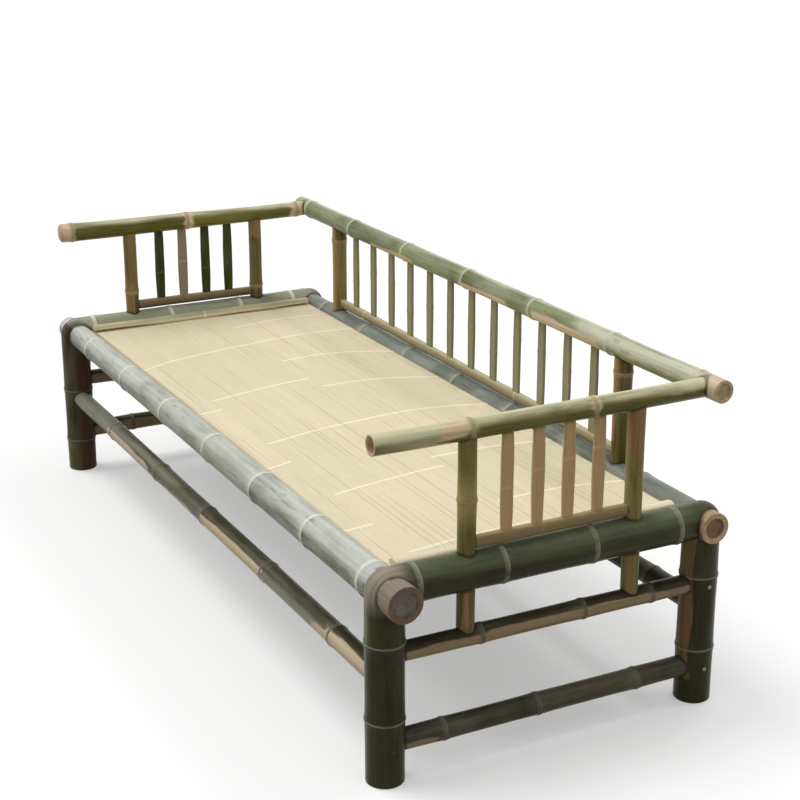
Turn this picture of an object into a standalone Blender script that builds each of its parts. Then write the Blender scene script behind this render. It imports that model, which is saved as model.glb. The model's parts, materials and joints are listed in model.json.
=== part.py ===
"""Bamboo daybed of whole and split culms, in metres, +Z up.

X runs along the bed, the open front faces -Y, and the origin is on the floor under the middle of the bed.
"""

import math

import bmesh
import bpy
from mathutils import Matrix, Vector

# Fits
CLEARANCE = 0.0003  # gap between pieces that touch
TENON_DEPTH = 0.045  # stretcher end inside a leg, from the leg's side
TENON_ROOT = 0.020  # length of a round tenon inside the piece that carries it
SLAT_TONGUE = 0.011  # slat end inside a rail or a strip
STRIP_TONGUE = 0.012  # strip end inside a post

# Bamboo
NODE_RIDGE = 0.0015  # height of the ridge round a node
NODE_HALF = 0.006  # half its length along the culm
CULM_WALL = 0.008  # wall that shows at an open end
END_RECESS = 0.014  # depth of an open end down to its first diaphragm

# End frames: one culm each, folded into an upside-down U
LEG_SPACING_X = 1.92
LEG_SPACING_Y = 0.726
END_RAIL_Z = 0.403
FRAME_RADIUS = 0.0385
FRAME_SIDES = 14
FOLD_STEPS = 6
FOLD_WALL = 0.0075  # wall left round the long rail where the culm folds
LEG_FIRST_NODE = 0.134
LEG_INTERNODE = 0.161
END_RAIL_INTERNODE = 0.190

# Long rails, which come out through the folds
RAIL_SIDES = 14
FRONT_RAIL_LEFT_RADIUS = 0.031
FRONT_RAIL_RIGHT_RADIUS = 0.037
FRONT_RAIL_OVERHANG = 0.072
FRONT_RAIL_FIRST_NODE = 0.245
FRONT_RAIL_INTERNODE = 0.279
BACK_RAIL_LEFT_RADIUS = 0.031
BACK_RAIL_RIGHT_RADIUS = 0.033
BACK_RAIL_OVERHANG = 0.050
BACK_RAIL_FIRST_NODE = 0.190
BACK_RAIL_INTERNODE = 0.262

# Stretchers between the legs
STRETCHER_SIDES = 10
LONG_STRETCHER_Z = 0.213
LONG_STRETCHER_RADIUS = 0.023
LONG_STRETCHER_FIRST_NODE = 0.140
LONG_STRETCHER_INTERNODE = 0.272
UPPER_STRETCHER_LIFT = 0.008  # wood left in the leg above the long stretcher
UPPER_STRETCHER_RADIUS = 0.020
LEFT_LOWER_STRETCHER_Z = 0.110
RIGHT_LOWER_STRETCHER_Z = 0.079
LOWER_STRETCHER_RADIUS = 0.022
END_STRETCHER_FIRST_NODE = 0.165
END_STRETCHER_INTERNODE = 0.205
PEG_RADIUS = 0.0045
PEG_SIDES = 8
PEG_HEAD = 0.0015  # stands proud of the leg
PEG_PAST_AXIS = 0.012

# Arms
ARM_SIDES = 12
ARM_Z = 0.688
ARM_OVERHANG = 0.028  # past the front leg axis
LEFT_ARM_FRONT_RADIUS = 0.0255
RIGHT_ARM_FRONT_RADIUS = 0.0205
ARM_BACK_RADIUS = 0.0205
LEFT_ARM_FIRST_NODE = 0.045
RIGHT_ARM_FIRST_NODE = 0.164
ARM_INTERNODE = 0.320
ARM_POST_Y = 0.190
POST_SIDES = 10
ARM_POST_RADIUS = 0.018
POST_FIRST_NODE = 0.235
POST_INTERNODE = 0.260
TENON_RADIUS = 0.011
TENON_SIDES = 9
ARM_STRIP_LIFT = 0.004  # above the end rail
STRIP_HEIGHT = 0.024
STRIP_THICKNESS = 0.016
STRIP_ROUNDING = 0.005
ARM_SLAT_COUNT = 4
ARM_SLAT_PITCH = 0.069
SLAT_WIDTH = 0.027
SLAT_END_WIDTH = 0.021
SLAT_THICKNESS = 0.008

# Back
BACK_SET_IN = 0.001  # from the back legs' axes to the back's middle plane
TOP_RAIL_RADIUS = 0.024
TOP_RAIL_OVERHANG = 0.046
TOP_RAIL_FIRST_NODE = 0.082
TOP_RAIL_INTERNODE = 0.311
BACK_POST_LEFT_INSET = 0.215  # from the left legs' axes
BACK_POST_RIGHT_INSET = 0.295
BACK_POST_RADIUS = 0.020
BACK_STRIP_LIFT = 0.005  # above the back rail
BACK_SLAT_COUNT = 12

# Seat
SEAT_TOP_Z = 0.413
BOARD_THICKNESS = 0.010
FRONT_SEAM_Y = -0.257
BACK_SEAM_Y = 0.030
BEARER_COUNT = 5
BEARER_INSET = 0.100  # from the leg axis to the end bearer
BEARER_RADIUS = 0.017
BEARER_SIDES = 12
BEARER_STOP = 0.010  # short of the long rail's axis
BATTEN_WIDTH = 0.030
BATTEN_THICKNESS = 0.016
BATTEN_ROUNDING = 0.006

# Places that follow from the sizes
HALF_X = LEG_SPACING_X / 2
HALF_Y = LEG_SPACING_Y / 2
BACK_Y = HALF_Y - BACK_SET_IN
BACK_POST_LEFT_X = BACK_POST_LEFT_INSET - HALF_X
BACK_POST_RIGHT_X = HALF_X - BACK_POST_RIGHT_INSET
FRONT_RAIL_RADIUS = max(FRONT_RAIL_LEFT_RADIUS, FRONT_RAIL_RIGHT_RADIUS)
BACK_RAIL_RADIUS = max(BACK_RAIL_LEFT_RADIUS, BACK_RAIL_RIGHT_RADIUS)
FRONT_INSET = FRONT_RAIL_RADIUS + NODE_RIDGE + FOLD_WALL - FRAME_RADIUS
BACK_INSET = BACK_RAIL_RADIUS + NODE_RIDGE + FOLD_WALL - FRAME_RADIUS
FRONT_RAIL_Y = FRONT_INSET - HALF_Y
FRONT_RAIL_Z = END_RAIL_Z - FRONT_INSET
BACK_RAIL_Y = HALF_Y - BACK_INSET
BACK_RAIL_Z = END_RAIL_Z - BACK_INSET
FRAME_REACH = FRAME_RADIUS + NODE_RIDGE
LONG_STRETCHER_TOP = LONG_STRETCHER_Z + LONG_STRETCHER_RADIUS + NODE_RIDGE
UPPER_STRETCHER_Z = LONG_STRETCHER_TOP + UPPER_STRETCHER_LIFT + UPPER_STRETCHER_RADIUS
EDGES = (("front", -1), ("back", 1))

# Finishes: base colour and roughness
GREY_GREEN = ((0.43, 0.47, 0.40), 0.45)
DARK_GREEN = ((0.045, 0.055, 0.025), 0.35)
OLIVE = ((0.13, 0.14, 0.05), 0.35)
BROWN = ((0.19, 0.12, 0.065), 0.55)
DRAB = ((0.17, 0.155, 0.085), 0.5)
CREAM = ((0.78, 0.68, 0.46), 0.55)
TAN = ((0.55, 0.40, 0.22), 0.6)

for leftover in list(bpy.data.objects):
    bpy.data.objects.remove(leftover)

PARTS = bpy.data.collections.new("bamboo_daybed")
CUTTERS = bpy.data.collections.new("cutters")
for group in (PARTS, CUTTERS):
    bpy.context.scene.collection.children.link(group)
ORIGIN = bpy.data.objects.new("floor_middle", None)
PARTS.objects.link(ORIGIN)
SHAPES = {}


def along(start, end):
    """Matrix that stands local +Z on start and points it at end."""
    direction = Vector(end) - Vector(start)
    return Matrix.Translation(start) @ direction.to_track_quat("Z", "Y").to_matrix().to_4x4()


def object_of(name, mesh):
    """Object with the bmesh's faces, outwards."""
    bmesh.ops.recalc_face_normals(mesh, faces=mesh.faces)
    data = bpy.data.meshes.new(name)
    mesh.to_mesh(data)
    mesh.free()
    return bpy.data.objects.new(name, data)


def node_heights(length, first, internode):
    """Heights of the nodes along a culm."""
    heights = []
    height = first
    while height < length - END_RECESS - NODE_HALF:
        heights.append(height)
        height += internode
    return heights


def culm(name, grow, start, end, radii, nodes, sides, open_ends=(False, False)):
    """Tapered round culm with a ridge at each node, turned from its half outline."""
    length = (Vector(end) - Vector(start)).length
    foot, top = -grow, length + grow

    def radius_at(height):
        return radii[0] + (radii[1] - radii[0]) * height / length + grow

    outline = [(radius_at(length), top)]
    for height in reversed(node_heights(length, *nodes)):
        outline.append((radius_at(height), height + NODE_HALF))
        outline.append((radius_at(height) + NODE_RIDGE, height))
        outline.append((radius_at(height), height - NODE_HALF))
    outline.append((radius_at(0), foot))
    foot_floor, top_floor = foot, top
    if open_ends[0] and not grow:
        foot_floor = foot + END_RECESS
        outline += [(radii[0] - CULM_WALL, foot), (radii[0] - CULM_WALL, foot_floor)]
    if open_ends[1] and not grow:
        top_floor = top - END_RECESS
        outline = [(radii[1] - CULM_WALL, top_floor), (radii[1] - CULM_WALL, top)] + outline
    outline = [(0, top_floor)] + outline + [(0, foot_floor)]

    data = bpy.data.meshes.new(name)
    edges = [(i, i + 1) for i in range(len(outline) - 1)]
    data.from_pydata([(radius, 0, height) for radius, height in outline], edges, [])
    piece = bpy.data.objects.new(name, data)
    turned = piece.modifiers.new("turned", "SCREW")
    turned.steps = turned.render_steps = sides
    turned.use_merge_vertices = True
    turned.merge_threshold = 0.00001
    turned.use_smooth_shade = True
    piece.matrix_world = along(start, end)
    return piece


def rod(name, grow, start, end, radius, sides):
    """Plain round rod, for pegs and round tenons."""
    length = (Vector(end) - Vector(start)).length
    mesh = bmesh.new()
    bmesh.ops.create_cone(
        mesh,
        cap_ends=True,
        segments=sides,
        radius1=radius + grow,
        radius2=radius + grow,
        depth=length + 2 * grow,
        matrix=Matrix.Translation((0, 0, length / 2)),
    )
    piece = object_of(name, mesh)
    piece.matrix_world = along(start, end)
    return piece


def bar(name, grow, low, high, rounding):
    """Split strip or flattened board between two corners, its edges eased."""
    low = Vector(low)
    high = Vector(high)
    mesh = bmesh.new()
    size = high - low + Vector((2, 2, 2)) * grow
    bmesh.ops.create_cube(mesh, size=1, matrix=Matrix.Diagonal((*size, 1)))
    piece = object_of(name, mesh)
    piece.location = (low + high) / 2
    if rounding:
        eased = piece.modifiers.new("eased", "BEVEL")
        eased.width = rounding
        eased.segments = 2
    return piece


def slat(name, grow, foot, height, wide_axis):
    """Flat split slat standing on foot, wider at its middle than at its two tongues."""
    mesh = bmesh.new()
    size = (SLAT_END_WIDTH + 2 * grow, SLAT_THICKNESS + 2 * grow, height + 2 * grow)
    bmesh.ops.create_cube(mesh, size=1, matrix=Matrix.Diagonal((*size, 1)))
    upright = [edge for edge in mesh.edges if abs(edge.verts[0].co.z - edge.verts[1].co.z) > height / 2]
    bmesh.ops.subdivide_edges(mesh, edges=upright, cuts=3, use_grid_fill=True)
    for vert in mesh.verts:
        swell = (SLAT_WIDTH - SLAT_END_WIDTH) / 2 * max(0, 1 - (2 * vert.co.z / height) ** 2)
        vert.co.x += swell if vert.co.x > 0 else -swell
    piece = object_of(name, mesh)
    piece.location = foot + Vector((0, 0, height / 2))
    if wide_axis == "Y":
        piece.rotation_euler.z = math.pi / 2
    return piece


def frame_sections(edge, inset):
    """One half of an end frame as (place, radius) pairs: up a leg, round the long rail, to the rail's middle.

    A place turns a ring's (across, outwards) offset from the culm's axis into (across, y, z).
    """
    leg_y = edge * HALF_Y
    bend_y = edge * (HALF_Y - inset)
    bend_z = END_RAIL_Z - inset

    def on_leg(height):
        return lambda across, outwards: (across, leg_y + edge * outwards, height)

    def in_fold(angle):
        def place(across, outwards):
            reach = outwards + inset
            if reach <= 0:  # the notched inner side closes on its mitre
                return (across, bend_y + edge * reach, bend_z + reach)
            return (across, bend_y + edge * reach * math.cos(angle), bend_z + reach * math.sin(angle))

        return place

    def on_rail(distance):
        return lambda across, outwards: (across, edge * distance, END_RAIL_Z + outwards)

    sections = [(on_leg(0), FRAME_RADIUS)]
    for height in node_heights(END_RAIL_Z - 2 * FRAME_RADIUS, LEG_FIRST_NODE, LEG_INTERNODE):
        sections.append((on_leg(height - NODE_HALF), FRAME_RADIUS))
        sections.append((on_leg(height), FRAME_REACH))
        sections.append((on_leg(height + NODE_HALF), FRAME_RADIUS))
    sections += [(in_fold(math.pi / 2 * i / FOLD_STEPS), FRAME_RADIUS) for i in range(FOLD_STEPS + 1)]
    nodes_from_middle = node_heights(HALF_Y - FRAME_RADIUS, END_RAIL_INTERNODE / 2, END_RAIL_INTERNODE)
    for distance in reversed(nodes_from_middle):
        sections.append((on_rail(distance + NODE_HALF), FRAME_RADIUS))
        sections.append((on_rail(distance), FRAME_REACH))
        sections.append((on_rail(distance - NODE_HALF), FRAME_RADIUS))
    return sections


def folded_frame(name, grow, x):
    """End frame: one culm up the front leg, folded along the end rail and down the back leg."""
    sections = frame_sections(-1, FRONT_INSET) + frame_sections(1, BACK_INSET)[::-1]
    mesh = bmesh.new()
    last = None
    for i, (place, radius) in enumerate(sections):
        is_foot = i in (0, len(sections) - 1)
        made = bmesh.ops.create_circle(mesh, cap_ends=is_foot, segments=FRAME_SIDES, radius=radius + grow)
        for vert in made["verts"]:
            vert.co = place(vert.co.x, vert.co.y)
            vert.co.x += x
        edges = {edge for vert in made["verts"] for edge in vert.link_edges}
        if last:
            bmesh.ops.bridge_loops(mesh, edges=list(edges | last))
        last = edges
    bmesh.ops.remove_doubles(mesh, verts=mesh.verts, dist=0.00001)
    return object_of(name, mesh)


def material(name, finish):
    """Plain finish of one piece."""
    made = bpy.data.materials.new(name)
    made.use_nodes = True
    shader = made.node_tree.nodes["Principled BSDF"]
    shader.inputs["Base Color"].default_value = (*finish[0], 1)
    shader.inputs["Roughness"].default_value = finish[1]
    shader.inputs["Metallic"].default_value = 0
    made.diffuse_color = (*finish[0], 1)
    return made


def add(name, finish, maker, *shape):
    """Adds one piece, and remembers its shape for the hole that it needs in others."""
    SHAPES[name] = (maker, shape)
    piece = maker(name, 0, *shape)
    piece.data.materials.append(material(name, finish))
    PARTS.objects.link(piece)
    piece.parent = ORIGIN
    return piece


def hidden(piece):
    """Makes a piece a helper that only shapes others."""
    CUTTERS.objects.link(piece)
    piece.hide_render = True
    piece.display_type = "WIRE"
    return piece


def hole_for(name):
    """Cutter of a piece's own shape, larger all round by the clearance."""
    cutter = bpy.data.objects.get(name + "_hole")
    if cutter is None:
        maker, shape = SHAPES[name]
        cutter = hidden(maker(name + "_hole", CLEARANCE, *shape))
    return cutter


def combine(piece, operation, other):
    step = piece.modifiers.new(operation.lower(), "BOOLEAN")
    step.operation = operation
    step.object = other


def cut(host, guests):
    """Cuts the holes that the guests need out of the host."""
    for guest in guests:
        combine(bpy.data.objects[host], "DIFFERENCE", hole_for(guest))


def tenon(guest, host, tip, root):
    """Scribes the guest's end to the host and carries it in with a round tenon, from root to tip."""
    cut(guest, [host])
    name = guest + "_tenon_in_" + host
    SHAPES[name] = (rod, (tip, root, TENON_RADIUS, TENON_SIDES))
    combine(bpy.data.objects[guest], "UNION", hidden(rod(name, 0, tip, root, TENON_RADIUS, TENON_SIDES)))
    cut(host, [name])


# Long rails
for edge_name, rail_y, rail_z, overhang, radii, nodes in (
    (
        "front",
        FRONT_RAIL_Y,
        FRONT_RAIL_Z,
        FRONT_RAIL_OVERHANG,
        (FRONT_RAIL_LEFT_RADIUS, FRONT_RAIL_RIGHT_RADIUS),
        (FRONT_RAIL_FIRST_NODE, FRONT_RAIL_INTERNODE),
    ),
    (
        "back",
        BACK_RAIL_Y,
        BACK_RAIL_Z,
        BACK_RAIL_OVERHANG,
        (BACK_RAIL_LEFT_RADIUS, BACK_RAIL_RIGHT_RADIUS),
        (BACK_RAIL_FIRST_NODE, BACK_RAIL_INTERNODE),
    ),
):
    rail_end = Vector((HALF_X + overhang, rail_y, rail_z))
    rail_start = Vector((-rail_end.x, rail_y, rail_z))
    add(f"{edge_name}_rail", GREY_GREEN, culm, rail_start, rail_end, radii, nodes, RAIL_SIDES, (True, True))

# Front and back stretchers
LONG_REACH = HALF_X - FRAME_RADIUS + TENON_DEPTH
for edge_name, edge in EDGES:
    stretcher_end = Vector((LONG_REACH, edge * HALF_Y, LONG_STRETCHER_Z))
    stretcher_start = Vector((-LONG_REACH, edge * HALF_Y, LONG_STRETCHER_Z))
    add(
        f"{edge_name}_stretcher",
        DARK_GREEN,
        culm,
        stretcher_start,
        stretcher_end,
        (LONG_STRETCHER_RADIUS, LONG_STRETCHER_RADIUS),
        (LONG_STRETCHER_FIRST_NODE, LONG_STRETCHER_INTERNODE),
        STRETCHER_SIDES,
    )

# End frames with their stretchers and pegs
END_REACH = HALF_Y - FRAME_RADIUS + TENON_DEPTH
for end_name, end, lower_z in (("left", -1, LEFT_LOWER_STRETCHER_Z), ("right", 1, RIGHT_LOWER_STRETCHER_Z)):
    x = end * HALF_X
    frame = f"{end_name}_end_frame"
    add(frame, DARK_GREEN, folded_frame, x)
    cut(frame, ["front_rail", "back_rail", "front_stretcher", "back_stretcher"])
    for level, z, radius in (
        ("upper", UPPER_STRETCHER_Z, UPPER_STRETCHER_RADIUS),
        ("lower", lower_z, LOWER_STRETCHER_RADIUS),
    ):
        stretcher = f"{end_name}_{level}_stretcher"
        add(
            stretcher,
            DARK_GREEN,
            culm,
            Vector((x, -END_REACH, z)),
            Vector((x, END_REACH, z)),
            (radius, radius),
            (END_STRETCHER_FIRST_NODE, END_STRETCHER_INTERNODE),
            STRETCHER_SIDES,
        )
        cut(frame, [stretcher])
        for edge_name, edge in EDGES:
            peg = f"{end_name}_{level}_{edge_name}_peg"
            peg_head = Vector((end * (HALF_X + FRAME_RADIUS + PEG_HEAD), edge * HALF_Y, z))
            peg_tip = Vector((end * (HALF_X - PEG_PAST_AXIS), edge * HALF_Y, z))
            add(peg, TAN, rod, peg_head, peg_tip, PEG_RADIUS, PEG_SIDES)
            cut(frame, [peg])
            cut(stretcher, [peg])

# Top rail of the back
top_end = Vector((HALF_X + TOP_RAIL_OVERHANG, BACK_Y, ARM_Z))
top_start = Vector((-top_end.x, BACK_Y, ARM_Z))
add(
    "back_top_rail",
    GREY_GREEN,
    culm,
    top_start,
    top_end,
    (TOP_RAIL_RADIUS, TOP_RAIL_RADIUS),
    (TOP_RAIL_FIRST_NODE, TOP_RAIL_INTERNODE),
    ARM_SIDES,
    (True, True),
)

# Arms
ARM_STRIP_LOW = END_RAIL_Z + FRAME_REACH + ARM_STRIP_LIFT
ARM_STRIP_TOP = ARM_STRIP_LOW + STRIP_HEIGHT
ARM_STRIP_REACH = ARM_POST_Y - ARM_POST_RADIUS + STRIP_TONGUE
ARM_FRONT_Y = -HALF_Y - ARM_OVERHANG
for end_name, end, front_radius, first_node in (
    ("left", -1, LEFT_ARM_FRONT_RADIUS, LEFT_ARM_FIRST_NODE),
    ("right", 1, RIGHT_ARM_FRONT_RADIUS, RIGHT_ARM_FIRST_NODE),
):
    x = end * HALF_X
    arm_rail = f"{end_name}_arm_rail"
    arm_strip = f"{end_name}_arm_strip"
    add(
        arm_rail,
        OLIVE,
        culm,
        Vector((x, ARM_FRONT_Y, ARM_Z)),
        Vector((x, BACK_Y, ARM_Z)),
        (front_radius, ARM_BACK_RADIUS),
        (first_node, ARM_INTERNODE),
        ARM_SIDES,
        (True, False),
    )
    arm_tip = Vector((x, BACK_Y, ARM_Z))
    arm_root = arm_tip - Vector((0, TOP_RAIL_RADIUS + TENON_ROOT, 0))
    tenon(arm_rail, "back_top_rail", arm_tip, arm_root)
    strip_low = Vector((x - STRIP_THICKNESS / 2, -ARM_STRIP_REACH, ARM_STRIP_LOW))
    strip_high = Vector((x + STRIP_THICKNESS / 2, ARM_STRIP_REACH, ARM_STRIP_TOP))
    add(arm_strip, BROWN, bar, strip_low, strip_high, STRIP_ROUNDING)
    for edge_name, edge in EDGES:
        post = f"{end_name}_{edge_name}_arm_post"
        post_foot = Vector((x, edge * ARM_POST_Y, UPPER_STRETCHER_Z))
        post_top = Vector((x, edge * ARM_POST_Y, ARM_Z))
        add(
            post,
            OLIVE,
            culm,
            post_foot,
            post_top,
            (ARM_POST_RADIUS, ARM_POST_RADIUS),
            (POST_FIRST_NODE, POST_INTERNODE),
            POST_SIDES,
        )
        cut(f"{end_name}_end_frame", [post])
        foot_root = post_foot + Vector((0, 0, UPPER_STRETCHER_RADIUS + TENON_ROOT))
        top_root = post_top - Vector((0, 0, front_radius + TENON_ROOT))
        tenon(post, f"{end_name}_upper_stretcher", post_foot, foot_root)
        tenon(post, arm_rail, post_top, top_root)
        cut(post, [arm_strip])
    slat_foot_z = ARM_STRIP_TOP - SLAT_TONGUE
    for i in range(ARM_SLAT_COUNT):
        arm_slat = f"{end_name}_arm_slat_{i + 1}"
        y = (i - (ARM_SLAT_COUNT - 1) / 2) * ARM_SLAT_PITCH
        share = (y - ARM_FRONT_Y) / (BACK_Y - ARM_FRONT_Y)
        rail_low = ARM_Z - front_radius - (ARM_BACK_RADIUS - front_radius) * share
        height = rail_low + SLAT_TONGUE - slat_foot_z
        add(arm_slat, BROWN, slat, Vector((x, y, slat_foot_z)), height, "Y")
        cut(arm_rail, [arm_slat])
        cut(arm_strip, [arm_slat])

# Back panel
BACK_STRIP_LOW = BACK_RAIL_Z + BACK_RAIL_RADIUS + NODE_RIDGE + BACK_STRIP_LIFT
BACK_STRIP_TOP = BACK_STRIP_LOW + STRIP_HEIGHT
strip_inset = BACK_POST_RADIUS - STRIP_TONGUE
strip_low = Vector((BACK_POST_LEFT_X + strip_inset, BACK_Y - STRIP_THICKNESS / 2, BACK_STRIP_LOW))
strip_high = Vector((BACK_POST_RIGHT_X - strip_inset, BACK_Y + STRIP_THICKNESS / 2, BACK_STRIP_TOP))
add("back_strip", BROWN, bar, strip_low, strip_high, STRIP_ROUNDING)
for end_name, x in (("left", BACK_POST_LEFT_X), ("right", BACK_POST_RIGHT_X)):
    post = f"{end_name}_back_post"
    post_foot = Vector((x, BACK_Y, BACK_RAIL_Z))
    post_top = Vector((x, BACK_Y, ARM_Z))
    add(
        post,
        OLIVE,
        culm,
        post_foot,
        post_top,
        (BACK_POST_RADIUS, BACK_POST_RADIUS),
        (POST_FIRST_NODE, POST_INTERNODE),
        POST_SIDES,
    )
    foot_root = post_foot + Vector((0, 0, BACK_RAIL_RADIUS + TENON_ROOT))
    top_root = post_top - Vector((0, 0, TOP_RAIL_RADIUS + TENON_ROOT))
    tenon(post, "back_rail", post_foot, foot_root)
    tenon(post, "back_top_rail", post_top, top_root)
    cut(post, ["back_strip"])
BACK_SLAT_PITCH = (BACK_POST_RIGHT_X - BACK_POST_LEFT_X) / (BACK_SLAT_COUNT + 1)
slat_foot_z = BACK_STRIP_TOP - SLAT_TONGUE
for i in range(BACK_SLAT_COUNT):
    back_slat = f"back_slat_{i + 1:02d}"
    x = BACK_POST_LEFT_X + (i + 1) * BACK_SLAT_PITCH
    height = ARM_Z - TOP_RAIL_RADIUS + SLAT_TONGUE - slat_foot_z
    add(back_slat, DRAB, slat, Vector((x, BACK_Y, slat_foot_z)), height, "X")
    cut("back_top_rail", [back_slat])
    cut("back_strip", [back_slat])

# Seat bearers, tenoned into both long rails
BOARD_LOW = SEAT_TOP_Z - BOARD_THICKNESS
BEARER_Z = BOARD_LOW - CLEARANCE - BEARER_RADIUS
BEARER_SPAN = LEG_SPACING_X - 2 * BEARER_INSET
for i in range(BEARER_COUNT):
    bearer = f"seat_bearer_{i + 1}"
    x = (i / (BEARER_COUNT - 1) - 0.5) * BEARER_SPAN
    add(
        bearer,
        DRAB,
        rod,
        Vector((x, FRONT_RAIL_Y + BEARER_STOP, BEARER_Z)),
        Vector((x, BACK_RAIL_Y - BEARER_STOP, BEARER_Z)),
        BEARER_RADIUS,
        BEARER_SIDES,
    )
    cut("front_rail", [bearer])
    cut("back_rail", [bearer])

# Seat boards of flattened culm, scribed to the long rails
BOARD_REACH = HALF_X - FRAME_REACH - CLEARANCE
for board_name, front, back, beside in (
    ("front", FRONT_RAIL_Y, FRONT_SEAM_Y - CLEARANCE / 2, "front_rail"),
    ("middle", FRONT_SEAM_Y + CLEARANCE / 2, BACK_SEAM_Y - CLEARANCE / 2, None),
    ("back", BACK_SEAM_Y + CLEARANCE / 2, BACK_RAIL_Y, "back_rail"),
):
    board = f"seat_board_{board_name}"
    low = Vector((-BOARD_REACH, front, BOARD_LOW))
    high = Vector((BOARD_REACH, back, SEAT_TOP_Z))
    add(board, CREAM, bar, low, high, 0)
    if beside:
        cut(board, [beside])

# End battens, laid on the board ends between the long rails
BATTEN_LOW = SEAT_TOP_Z + CLEARANCE
for end_name, end, front_radius, back_radius in (
    ("left", -1, FRONT_RAIL_LEFT_RADIUS, BACK_RAIL_LEFT_RADIUS),
    ("right", 1, FRONT_RAIL_RIGHT_RADIUS, BACK_RAIL_RIGHT_RADIUS),
):
    middle_x = end * (BOARD_REACH - BATTEN_WIDTH / 2)
    half_width = Vector((BATTEN_WIDTH / 2, 0, 0))
    batten_front = Vector((middle_x, FRONT_RAIL_Y + front_radius + NODE_RIDGE, BATTEN_LOW))
    batten_back = Vector((middle_x, BACK_RAIL_Y - back_radius - NODE_RIDGE, BATTEN_LOW + BATTEN_THICKNESS))
    corners = (batten_front - half_width, batten_back + half_width)
    add(f"{end_name}_batten", CREAM, bar, *corners, BATTEN_ROUNDING)
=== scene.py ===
"""Bamboo daybed dressed for a close look: whole culms, split slats and flattened boards, in metres."""

import bisect
import json
import math
import random

import bmesh
import bpy
from mathutils import Matrix, Vector, noise


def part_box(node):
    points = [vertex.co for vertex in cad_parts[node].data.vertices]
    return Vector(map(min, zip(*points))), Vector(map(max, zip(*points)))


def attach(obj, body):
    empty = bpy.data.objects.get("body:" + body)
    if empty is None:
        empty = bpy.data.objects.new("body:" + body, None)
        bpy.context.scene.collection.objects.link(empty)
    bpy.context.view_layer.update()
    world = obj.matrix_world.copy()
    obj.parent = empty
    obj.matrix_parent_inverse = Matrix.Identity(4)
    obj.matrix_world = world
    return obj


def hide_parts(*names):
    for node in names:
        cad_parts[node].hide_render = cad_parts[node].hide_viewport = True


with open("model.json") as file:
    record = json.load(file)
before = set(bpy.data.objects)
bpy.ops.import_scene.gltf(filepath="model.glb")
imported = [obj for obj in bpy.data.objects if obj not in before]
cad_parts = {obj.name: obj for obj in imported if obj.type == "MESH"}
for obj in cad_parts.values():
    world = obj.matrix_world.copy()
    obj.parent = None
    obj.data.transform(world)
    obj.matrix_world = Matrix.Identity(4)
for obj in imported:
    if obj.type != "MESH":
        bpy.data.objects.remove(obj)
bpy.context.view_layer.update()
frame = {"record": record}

# Camera
# The daybed is seen from beyond its right front corner, from above the arms, through a long lens.
CAMERA_PLACE = Vector((3.4857, -1.6439, 1.7162))
CAMERA_AIM = Vector((-0.694, 0.5296, 0.142))
CAMERA_LENS = 75.48
SENSOR_WIDTH = 36


def put(name, data):
    """Puts a camera, a lamp or a mesh into the scene, at the origin."""
    thing = bpy.data.objects.new(name, data)
    bpy.context.scene.collection.objects.link(thing)
    return thing


def point(thing, place, target):
    """Sets a camera or a lamp down at a place and turns it to a target."""
    thing.location = place
    thing.rotation_euler = (target - place).to_track_quat("-Z", "Y").to_euler()


camera_data = bpy.data.cameras.new("camera")
camera_data.lens = CAMERA_LENS
camera_data.sensor_width = SENSOR_WIDTH
camera = put("camera", camera_data)
point(camera, CAMERA_PLACE, CAMERA_AIM)
bpy.context.scene.camera = camera
bpy.context.scene.view_settings.view_transform = "Standard"


# Floor and light
# A pale floor that runs on past the picture, under an even white sky, with one broad sun from the front left
# and two softboxes up behind the daybed, which draw a shine along its culms.
# Sky and floor look white, straight or mirrored, and throw less light than that on the daybed.
FLOOR_HALF = 60.0
FLOOR_SEEN = (0.66, 0.66, 0.655)
FLOOR_LIFT = (0.365, 0.365, 0.365)  # keeps the seen floor pale in the shadow too
FLOOR_BOUNCE = (0.28, 0.265, 0.23)
FLOOR_ROUGHNESS = 0.9
BLACK = (0.0, 0.0, 0.0)
WHITE = (1.0, 1.0, 1.0)
SKY_LIGHT = 0.52
SUN_FROM = Vector((-0.42, -0.42, 1.0))
SUN_STRENGTH = 1.65
SUN_SPREAD = math.radians(38)
SOFTBOXES = (  # name, place, target, sides, watts
    ("broad_softbox", Vector((0.1, 2.1, 3.7)), Vector((0.3, 0.0, 0.5)), (1.6, 0.5), 18),
    ("narrow_softbox", Vector((1.38, 2.0, 3.7)), Vector((0.98, 0.0, 0.44)), (0.25, 1.8), 12),
)


def feed(socket, value):
    """Links a shader node's input to what another node gives, or sets it to a plain value."""
    if isinstance(value, Shade):
        value = value.socket
    if isinstance(value, bpy.types.NodeSocket):
        socket.id_data.links.new(value, socket)
    elif socket.type == "RGBA":
        socket.default_value = (*value, 1.0)
    else:
        socket.default_value = value


def add(tree, kind, *values, **settings):
    """Adds a shader node with its settings and feeds its first inputs."""
    made = tree.nodes.new("ShaderNode" + kind)
    for label, setting in settings.items():
        setattr(made, label, setting)
    for socket, value in zip(made.inputs, values):
        feed(socket, value)
    return made


def blended(tree, how, share, under, over):
    """Colour over laid on colour under by a share."""
    made = add(tree, "Mix", share, data_type="RGBA", blend_type=how)
    feed(made.inputs[6], under)
    feed(made.inputs[7], over)
    return Shade(made.outputs[2])


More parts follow.
